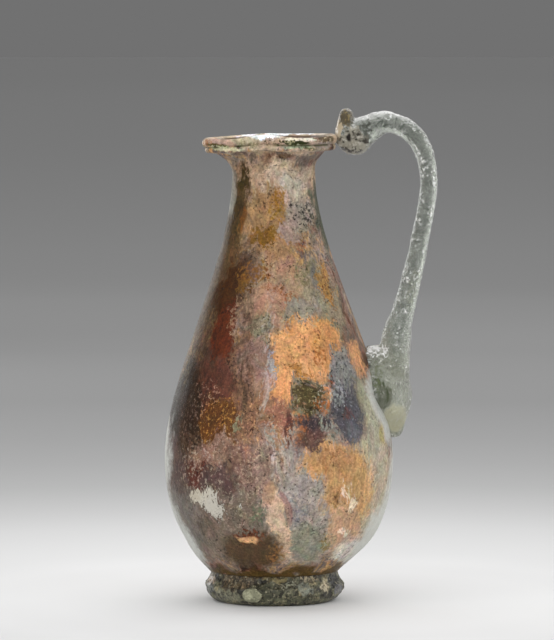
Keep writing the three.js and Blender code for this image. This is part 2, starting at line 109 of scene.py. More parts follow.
# Handle, in the upright plane through the spout: each place that the glass's middle passes, and its half
# thickness and half width there
CLAW = (
    ((24.0, 34.6), (2.2, 3.2)),
    ((23.3, 41.0), (4.5, 8.0)),
    ((22.3, 47.5), (3.7, 5.0)),
)
CLAW_LAP = 3.2
COIL = (
    ((23.6, 44.5), (3.6, 4.2)),
    ((24.7, 53.8), (2.9, 3.6)),
    ((25.9, 58.0), (2.35, 2.9)),
    ((28.8, 70.4), (1.9, 2.45)),
    ((30.9, 84.0), (1.8, 2.35)),
    ((28.5, 92.35), (2.03, 2.35)),
    ((22.4, 95.6), (2.25, 2.35)),
    ((16.1, 92.6), (3.7, 3.2)),
)
THUMB_REST = (
    ((14.2, 92.6), (2.3, 3.2)),
    ((14.4, 96.95), (1.5, 2.3)),
)
SKIN_GRAIN = 0.24
CUT_DEPTH = 0.12  # how far the handle's glass sinks into the body's
FOLD_EYE = at(14.9, 92.6)  # the dark pit in the fold
EYE_WIDTH, EYE_HEIGHT, EYE_DEPTH = 0.8, 1.2, 0.9


def paint(code):
    """An sRGB hex colour as linear RGBA."""
    channels = [int(code[i : i + 2], 16) / 255 for i in (1, 3, 5)]
    return [c / 12.92 if c <= 0.04045 else ((c + 0.055) / 1.055) ** 2.4 for c in channels] + [1.0]


def smoothstep(value, low, high):
    share = min(max((value - low) / (high - low), 0.0), 1.0)
    return share * share * (3 - 2 * share)


def bell(distance, spread):
    return exp(-((distance / spread) ** 2))


# Shapes


def sideways(points, distance):
    """The points of an upward outline, moved outwards by a distance."""
    moved = []
    for i, point in enumerate(points):
        run = points[min(i + 1, len(points) - 1)] - points[max(i - 1, 0)]
        moved.append(point + Vector((run.z, 0, -run.x)).normalized() * distance)
    return moved


def arc(centre, radius, start, end, steps):
    angles = [radians(start + (end - start) * i / steps) for i in range(steps + 1)]
    return [centre + Vector((cos(a), 0, sin(a))) * radius for a in angles]


def bowed(start, pull, end, steps):
    """A curve from start to end, bent towards one pull."""
    return interpolate_bezier(start, start.lerp(pull, 2 / 3), end.lerp(pull, 2 / 3), end, steps)


def crease_angles():
    """Where the two beads of the lip meet, as an angle round the lower and the upper one."""
    between = UPPER_CENTRE - LOWER_CENTRE
    along = (between.length_squared + LOWER_BEAD**2 - UPPER_BEAD**2) / (2 * between.length)
    lean = degrees(atan2(between.z, between.x))
    lower = lean - degrees(acos(along / LOWER_BEAD))
    upper = lean - 180 + degrees(acos((between.length - along) / UPPER_BEAD))
    return lower, upper


def outside_of_body():
    """The outline from the waist over the foot up to the neck, and on to the underside of the lip."""
    lower = interpolate_bezier(WAIST, WAIST_PULL, BELLY_PULL_LOW, BELLY, 42)
    upper = interpolate_bezier(BELLY, BELLY_PULL_HIGH, NECK_PULL_LOW, NECK, 84)
    flare = interpolate_bezier(NECK, NECK_PULL_HIGH, FLARE_PULL, FLARE_END, 14)
    return lower, upper, flare


def drift(height):
    """The soft bubble sagged towards the handle."""
    return BELLY_DRIFT * (smoothstep(height, FOOT_HEIGHT, DRIFT_FULL) - smoothstep(height, BELLY.z, NECK.z))


def worked_hot(point):
    """The round vessel's point, after the mouth was pinched and tilted and the body sagged."""
    radius = hypot(point.x, point.y)
    direction = atan2(point.y, point.x)
    angle = abs(degrees(direction))
    worked = smoothstep(point.z, WORKED_FROM, UPPER_CENTRE.z)
    pinch = bell(angle - PINCH_ANGLE, PINCH_SPREADS[angle >= PINCH_ANGLE])
    spout = LOBE_STRETCH * bell(angle - 180, SPOUT_SPREAD)
    back = LOBE_STRETCH * bell(angle, BACK_SPREAD)
    reach = radius + worked * (spout - back - PINCH_DEPTH * pinch)
    rise = worked * (PINCH_RISE * pinch + reach * cos(direction) * tan(radians(MOUTH_TILT)))
    return Vector((reach * cos(direction) + drift(point.z), reach * sin(direction), point.z + rise))


def turned(section, steps, closed=False):
    """A section spun round the upright axis."""
    bm = bmesh.new()
    corners = [bm.verts.new(point) for point in section]
    ends = corners[1:] + corners[:1] if closed else corners[1:]
    section = corners + [bm.edges.new(pair) for pair in zip(corners, ends)]
    bmesh.ops.spin(bm, geom=section, cent=(0, 0, 0), axis=(0, 0, 1), angle=tau, steps=steps, use_merge=True)
    bmesh.ops.remove_doubles(bm, verts=bm.verts, dist=1e-4)
    bmesh.ops.recalc_face_normals(bm, faces=bm.faces)
    return bm


def finished(bm, name, node, material):
    """The piece in metres and in the part's frame, standing for its solid."""
    bmesh.ops.scale(bm, vec=(MM, MM, MM), verts=bm.verts)
    bmesh.ops.translate(bm, vec=(AXIS_X, 0, 0), verts=bm.verts)
    mesh = bpy.data.meshes.new(name)
    bm.to_mesh(mesh)
    bm.free()
    mesh.shade_smooth()
    mesh.materials.append(material)
    piece = bpy.data.objects.new(name, mesh)
    scene.collection.objects.link(piece)
    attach(piece, "root")
    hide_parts(node)


def make_vessel():
    """One bubble of glass, closed over its wall. Marks on each point say how far it lies in the lip's crease,
    and whether it is on the inner side, which is painted dark as shade."""
    lower, upper, flare = outside_of_body()
    crease_low, crease_high = crease_angles()
    lower_bead = arc(LOWER_CENTRE, LOWER_BEAD, -90, crease_low, 10)
    upper_bead = arc(UPPER_CENTRE, UPPER_BEAD, crease_high, 90, 12)
    crease = lower_bead[-1]
    funnel = sideways(flare, -BODY_WALL)[::-1]
    rolled = bowed(at(UPPER_CENTRE.x, LIP_TOP), at(LIP_RADIUS - LIP_WIDTH, LIP_TOP), funnel[0], 12)
    inner = sideways(upper, -BODY_WALL)[::-2]
    inner += [p for p in sideways(lower, -BODY_WALL)[::-2] if p.z > FLOOR_HEIGHT + FLOOR_ROUND_UP]
    end = inner[-1]
    floor_edge = at(end.x - FLOOR_ROUND_IN, FLOOR_HEIGHT)
    floor = interpolate_bezier(end, end.lerp(floor_edge, 2 / 3), floor_edge, at(FLOOR_FLAT, FLOOR_HEIGHT), 8)
    outer = [*UNDERSIDE, *lower, *upper[1:], *flare[1:], *lower_bead[1:], *upper_bead]
    within = [*rolled[1:], *funnel[1:], *inner[1:], *floor[1:], at(0, FLOOR_HEIGHT)]

    bm = turned(outer + within, 176)
    crease_mark = bm.verts.layers.float.new("crease")
    inner_shade_mark = bm.verts.layers.float.new("inner")
    wall_middle = sideways(lower + upper[1:] + flare[1:], -BODY_WALL / 2)
    for vert in bm.verts:
        flat = at(hypot(vert.co.x, vert.co.y), vert.co.z)
        vert[crease_mark] = bell((flat - crease).length, CREASE_WIDTH)
        if flat.z > LIP_FROM:
            # painted shade inside the mouth, from a little below the lip's top
            mouth_shade = smoothstep(LIP_TOP - MOUTH_DARK_DEPTH - flat.z, 0, MOUTH_DARK_EDGE)
            vert[inner_shade_mark] = mouth_shade * (flat.x < MOUTH_RADIUS)
        else:
            nearest = min(wall_middle, key=lambda p: abs(p.z - flat.z))
            vert[inner_shade_mark] = float(flat.z > FLOOR_MIDDLE and flat.x < nearest.x)
        hot = worked_hot(vert.co)
        # the near crest sags on both sides of the pinch, so that the mouth shows behind it
        sag = sum(bell(hot.x - x, spread) for x, spread in CREST_SAGS)
        hot.z -= CREST_SAG * sag * smoothstep(vert.co.z, *CREST_HEIGHTS) * smoothstep(-hot.y, *CREST_NEARNESS)
        slow = SLOW_WAVES[0] * noise(Vector((hot.x, hot.y, hot.z * 0.6)) * SLOW_WAVES[1])
        fine = FINE_WAVES[0] * noise(hot * FINE_WAVES[1])
        outward = Vector((hot.x, hot.y, 0)).normalized()
        vert.co = hot + outward * (slow + fine) * smoothstep(vert.co.z, *UNEVEN_FROM)
    return bm


def along(points, share):
    """A smooth line through the points, each an equal share of the way from the last."""
    place = share * (len(points) - 1)
    i = min(int(place), len(points) - 2)
    w = place - i
    before, a, b, after = (Vector(points[min(max(i + k, 0), len(points) - 1)]) for k in (-1, 0, 1, 2))
    pull_a = (b - before) / 2
    pull_b = (after - a) / 2
    cubic = 2 * a - 2 * b + pull_a + pull_b
    square = 3 * b - 3 * a - 2 * pull_a - pull_b
    return cubic * w**3 + square * w**2 + pull_a * w + a


def edges_round(ring):
    return list(dict.fromkeys(e for v in ring for e in v.link_edges if e.other_vert(v) in ring))


def bent_coil(stations, steps, lap=0.0):
    """A round-ended coil: a ring drawn past its stations in the upright XZ plane, its girth changing on the
    way. Its sides lie back round the body by the lap."""
    route, girth = zip(*stations)
    caps = [sin(radians(a)) for a in (80, 65, 48, 30, 15)]
    between = [(i / steps, 0) for i in range(steps + 1)]
    stops = [(0, -cap) for cap in caps] + between + [(1, cap) for cap in caps[::-1]]
    bm = bmesh.new()
    side = bm.verts.layers.float.new("side")
    ring = bmesh.ops.create_circle(bm, radius=1, segments=36)["verts"]
    for vert in ring:
        vert[side] = vert.co.y
    open_ends = []
    last = Matrix.Identity(4)
    for number, (share, beyond) in enumerate(stops):
        centre = along(route, share)
        run = along(route, min(share + 0.002, 1)) - along(route, max(share - 0.002, 0))
        run.normalize()
        half = along(girth, share)
        shrink = sqrt(1 - beyond**2)
        centre += run * beyond * half.x
        across, up = run.y * half.x * shrink, -run.x * half.x * shrink
        rows = (across, 0, run.x, centre.x), (0, half.y * shrink, 0, 0), (up, 0, run.y, centre.y)
        placing = Matrix((*rows, (0, 0, 0, 1)))
        if number:
            drawn = bmesh.ops.extrude_edge_only(bm, edges=edges_round(ring))["geom"]
            ring = [part for part in drawn if isinstance(part, bmesh.types.BMVert)]
        bmesh.ops.transform(bm, matrix=placing @ last.inverted(), verts=ring)
        last = placing
        if number in (0, len(stops) - 1):
            open_ends += edges_round(ring)
    bmesh.ops.holes_fill(bm, edges=[e for e in open_ends if e.is_boundary], sides=0)
    bmesh.ops.recalc_face_normals(bm, faces=bm.faces)
    for vert in bm.verts:
        vert.co.x -= lap * vert[side] ** 2
    return bm


def as_object(bm, name):
    mesh = bpy.data.meshes.new(name)
    bm.to_mesh(mesh)
    bm.free()
    thing = bpy.data.objects.new(name, mesh)
    scene.collection.objects.link(thing)
    return thing


def make_body_filling():
    """The vessel's outer form, a little inside its surface and filled, to cut what is fused to it."""
    lower, upper, flare = outside_of_body()
    outline = sideways(lower[::3] + upper[1::4] + flare[1::3], -CUT_DEPTH)
    lip = [at(12.1, 90.0), at(12.9, 90.5), at(13.4, 91.7), at(12.9, 92.7), at(0, 92.7)]
    bm = turned([at(0, 6), *outline, *lip], 96)
    for vert in bm.verts:
        vert.co = worked_hot(vert.co)
    return as_object(bm, "filling")


def make_handle():
    """The claw, the coil drawn from it and the thumb rest become one skin, cut out to the body's form."""
    pieces = [
        as_object(bent_coil(CLAW, 40, CLAW_LAP), "claw"),
        as_object(bent_coil(COIL, 140), "coil"),
        as_object(bent_coil(THUMB_REST, 12), "rest"),
    ]
    filling = make_body_filling()
    join = bmesh.new()
    for piece in pieces:
        join.from_mesh(piece.data)
    skin = as_object(join, "skin")
    skin.modifiers.new("one skin", "REMESH").voxel_size = SKIN_GRAIN
    skin.modifiers.new("easing", "SMOOTH").iterations = 5
    cut = skin.modifiers.new("cut", "BOOLEAN")
    cut.object = filling
    cut.solver = "EXACT"
    bpy.context.view_layer.update()
    bm = bmesh.new()
    bm.from_object(skin, bpy.context.evaluated_depsgraph_get())
    for thing in (*pieces, filling, skin):
        bpy.data.objects.remove(thing)

    bm.normal_update()
    for vert in bm.verts:
        here = vert.co.copy()
        off_eye = hypot((here.x - FOLD_EYE.x) / EYE_WIDTH, (here.z - FOLD_EYE.z) / EYE_HEIGHT)
        pit = bell(off_eye, 0.9) * smoothstep(abs(here.y), 1.6, 2.6)
        lumps = 0.13 * noise(here * 0.42) + 0.09 * fractal(here * 1.1, 1.0, 2.0, 3)
        vert.co = here + vert.normal * (lumps - 0.06 - EYE_DEPTH * pit)
    return bm


def make_foot():
    """A coil of glass wound on and tooled, roughened by burial outside and flat where it stands."""
    outside = interpolate_bezier(at(11.4, 0), at(12.8, 0.2), at(14, 1.8), FOOT_BULGE, 22)
    ridge = bowed(FOOT_BULGE, at(12.7, 4.83), at(12.7, 6), 16)
    seat = [at(11.8, 6), at(10.8, 6), at(9.8, 6)]
    bore = bowed(at(8.8, 6), at(8.8, 1.7), at(10, 0), 16)
    tread = [at(10.4, 0), at(10.9, 0)]
    bm = turned(outside + ridge[1:] + seat + bore + tread, 200, closed=True)
    for vert in bm.verts:
        direction = atan2(vert.co.y, vert.co.x)
        free = sin(pi * min(max(vert.co.z / FOOT_HEIGHT, 0), 1))
        wave = FOOT_WAVE * (0.6 * sin(3 * direction + 0.7) + 0.4 * sin(7 * direction + 2.1))
        rough = FOOT_ROUGH * fractal(vert.co * 0.55, 0.9, 2.1, 4) + FOOT_GRIT * noise(vert.co * 1.6)
        out = Vector((cos(direction), sin(direction), 0))
        side = 1 if hypot(vert.co.x, vert.co.y) > FOOT_MIDDLE else -1
        vert.co += out * free * (wave + side * (rough - 0.12))
    return bm


def make_scar():
    """The ring of broken glass left under the floor by the iron."""
    profile = ((4.05, 7.2), (4.1, 6.8), (4.25, 6.42), (4.6, 6.36), (4.9, 6.45), (5.08, 6.8), (5.15, 7.2))
    bm = turned([at(*corner) for corner in profile], 96, closed=True)
    bmesh.ops.subdivide_edges(bm, edges=bm.edges, cuts=1, use_grid_fill=True)
    for vert in bm.verts:
        depth = smoothstep(7.2 - vert.co.z, 0.1, 0.7)
        vert.co.z += depth * (0.22 * noise(vert.co * 1.3) + 0.12 * noise(vert.co * 4.0) + 0.05)
    return bm


def make_lime():
    """A lump of lime stuck to the foot's front, cracked off flat in places."""
    bm = bmesh.new()
    bmesh.ops.create_icosphere(bm, subdivisions=5, radius=1)
    for vert in bm.verts:
        here = vert.co.copy()
        lumps = 0.1 * noise(here * 1.2 + Vector((3, 1, 2)))
        vert.co *= 0.93 + lumps + 0.07 * fractal(here * 3.0, 0.8, 2.2, 4)
    bmesh.ops.scale(bm, vec=(1.3, 2.1, 1.5), verts=bm.verts)
    bmesh.ops.translate(bm, vec=(13.8, 0, 2.35), verts=bm.verts)
    bmesh.ops.rotate(bm, cent=(0, 0, 0), matrix=Matrix.Rotation(radians(252), 3, "Z"), verts=bm.verts)
    return bm


# Finishes


def add(tree, kind, sockets=None, stops=(), **settings):
    """Adds a node. A socket is set to a value, or linked where it is given another node's output. A ramp is
    given its stops, each a position and a colour."""
    node = tree.nodes.new("ShaderNode" + kind)
    for name, value in settings.items():
        setattr(node, name, value)
    for socket, value in (sockets or {}).items():
        if isinstance(value, bpy.types.NodeSocket):
            tree.links.new(value, node.inputs[socket])
        else:
            node.inputs[socket].default_value = value
    if stops:
        ramp = node.color_ramp.elements
        ramp.remove(ramp[1])
        ramp[0].position, ramp[0].color = stops[0]
        for position, colour in stops[1:]:
            ramp.new(position).color = colour
    return node.outputs


def joined(tree, operation, amount, *others):
    """Amounts put together one after another, as by MULTIPLY or MAXIMUM."""
    for other in others:
        amount = add(tree, "Math", {0: amount, 1: other}, operation=operation)[0]
    return amount


def laid(tree, colour, tint, *amounts):
    """A tint laid over a colour, as strongly as its amounts multiplied."""
    tint = paint(tint) if isinstance(tint, str) else tint
    return add(tree, "Mix", {0: joined(tree, "MULTIPLY", *amounts), 6: colour, 7: tint}, data_type="RGBA")[2]


def bare_material(name):
    material = bpy.data.materials.new(name)
    material.use_nodes = True
    tree = material.node_tree
    tree.nodes.clear()
    return material, tree


def in_millimetres(tree):
    """Places on the piece in millimetres from the foot's axis."""
    here = add(tree, "TexCoord")["Object"]
    scale = 1 / MM
    centred = {"Vector": here, "Location": (-AXIS_X * scale, 0, 0), "Scale": (scale, scale, scale)}
    return add(tree, "Mapping", centred)[0]


def strayed(tree, place, grain, reach, detail):
    """Places pushed about in grains, furthest up and down, so that what is drawn on them wanders and runs
    as a stain does."""
    tall = add(tree, "Mapping", {"Vector": place, "Scale": (1, 1, 0.5)})[0]
    push = {"Vector": tall, "Scale": 1 / grain, "Detail": detail, "Roughness": 0.6}
    push = add(tree, "TexNoise", push)["Color"]
    centred = add(tree, "VectorMath", {0: push, 1: (0.5, 0.5, 0.5)}, operation="SUBTRACT")[0]
    furthest = (reach, reach, 1.8 * reach)
    return add(tree, "VectorMath", {0: centred, 1: furthest, 2: place}, operation="MULTIPLY_ADD")[0]


def bitten(tree, place, grain, depth):
    """Noise about 0, to fray the edges of stains."""
    raw = {"Vector": place, "Scale": 1 / grain, "Detail": 6.0, "Roughness": 0.78}
    levels = {0: add(tree, "TexNoise", raw)["Fac"], 1: depth, 2: -0.5 * depth}
    return add(tree, "Math", levels, operation="MULTIPLY_ADD")[0]


def spot(tree, place, centre, half, tilt, edge, bite, strength=1.0):
    """An egg-shaped region: its strength inside, falling to 0 over its edge, which a bite of noise frays."""
    egg = {"Vector": place, "Location": centre, "Rotation": (0, radians(tilt), 0), "Scale": half}
    local = add(tree, "Mapping", egg, vector_type="TEXTURE")[0]
    ball = add(tree, "TexGradient", {"Vector": local}, gradient_type="SPHERICAL")["Fac"]
    frayed = joined(tree, "MINIMUM", joined(tree, "ADD", ball, bite), joined(tree, "MULTIPLY", ball, 3.0))
    levels = {"Value": frayed, "From Min": 0.03, "From Max": 0.03 + edge, "To Max": strength}
    return add(tree, "MapRange", levels, interpolation_type="SMOOTHSTEP")[0]


def marked(tree, colour, region, edges, covers, code, strength, look="ragged"):
    """A colour with a mark laid over it, and how far the mark covers it. The mark's edge is melted or ragged,
    and its look may break it up into grains or streaks."""
    place, edge, bite = edges.get(look, edges["ragged"])
    amount = spot(tree, place, *region, edge, bite, strength)
    if look in covers:
        amount = joined(tree, "MULTIPLY", amount, covers[look])
    return laid(tree, colour, code, amount), amount


def grains(tree, place, size, low, high, detail=2.0):
    """A spread of grains of a size in millimetres: 0 below the noise's low level, 1 above its high one."""
    raw = {"Vector": place, "Scale": 1 / size, "Detail": detail, "Roughness": 0.6}
    levels = {"Value": add(tree, "TexNoise", raw)["Fac"], "From Min": low, "From Max": high}
    return add(tree, "MapRange", levels)[0]


def uneven(tree, colour, place, size, low, high, detail=3.0):
    """A colour made darker and lighter in grains of a size in millimetres."""
    raw = {"Vector": place, "Scale": 1 / size, "Detail": detail, "Roughness": 0.65}
    levels = {"Value": add(tree, "TexNoise", raw)["Fac"], "From Min": 0.32, "From Max": 0.68}
    shade = add(tree, "MapRange", {**levels, "To Min": low, "To Max": high})[0]
    return add(tree, "VectorMath", {0: colour, "Scale": shade}, operation="SCALE")[0]


def shaded(material, sockets, height, depth):
    """The material with its shader, in relief by a depth in millimetres."""
    tree = material.node_tree
    relief = add(tree, "Bump", {"Height": height, "Strength": 1.0, "Distance": depth * MM})[0]
    shader = add(tree, "BsdfPrincipled", {"Normal": relief, **sockets})[0]
    add(tree, "OutputMaterial", {"Surface": shader})
    return material


# The weathering film's colours, along the levels of a noise
FILM = (
    (0.37, "#38241a"), (0.41, "#6b4430"), (0.45, "#8d7060"), (0.49, "#6d6258"),
    (0.52, "#a08a7b"), (0.555, "#b08a5c"), (0.60, "#5d565c"), (0.64, "#c79a63"),
)

# Broad tints: pink-buff neck and cream lip all round, and a white painted highlight along the crest of the
# lip's far side, each with its place, half sizes, colour and strength.
BROAD_TINTS_AND_HIGHLIGHT = (
    ((0, 0, 82), (13, 13, 10), "#b29679", 0.9),
    ((0, 0, 91.8), (19, 19, 2.6), "#c3af94", 0.9),
    # painted highlight: white along the far crest of the lip
    ((3, 10, 93.8), (19, 9, 2.2), "#ffffff", 1),
)

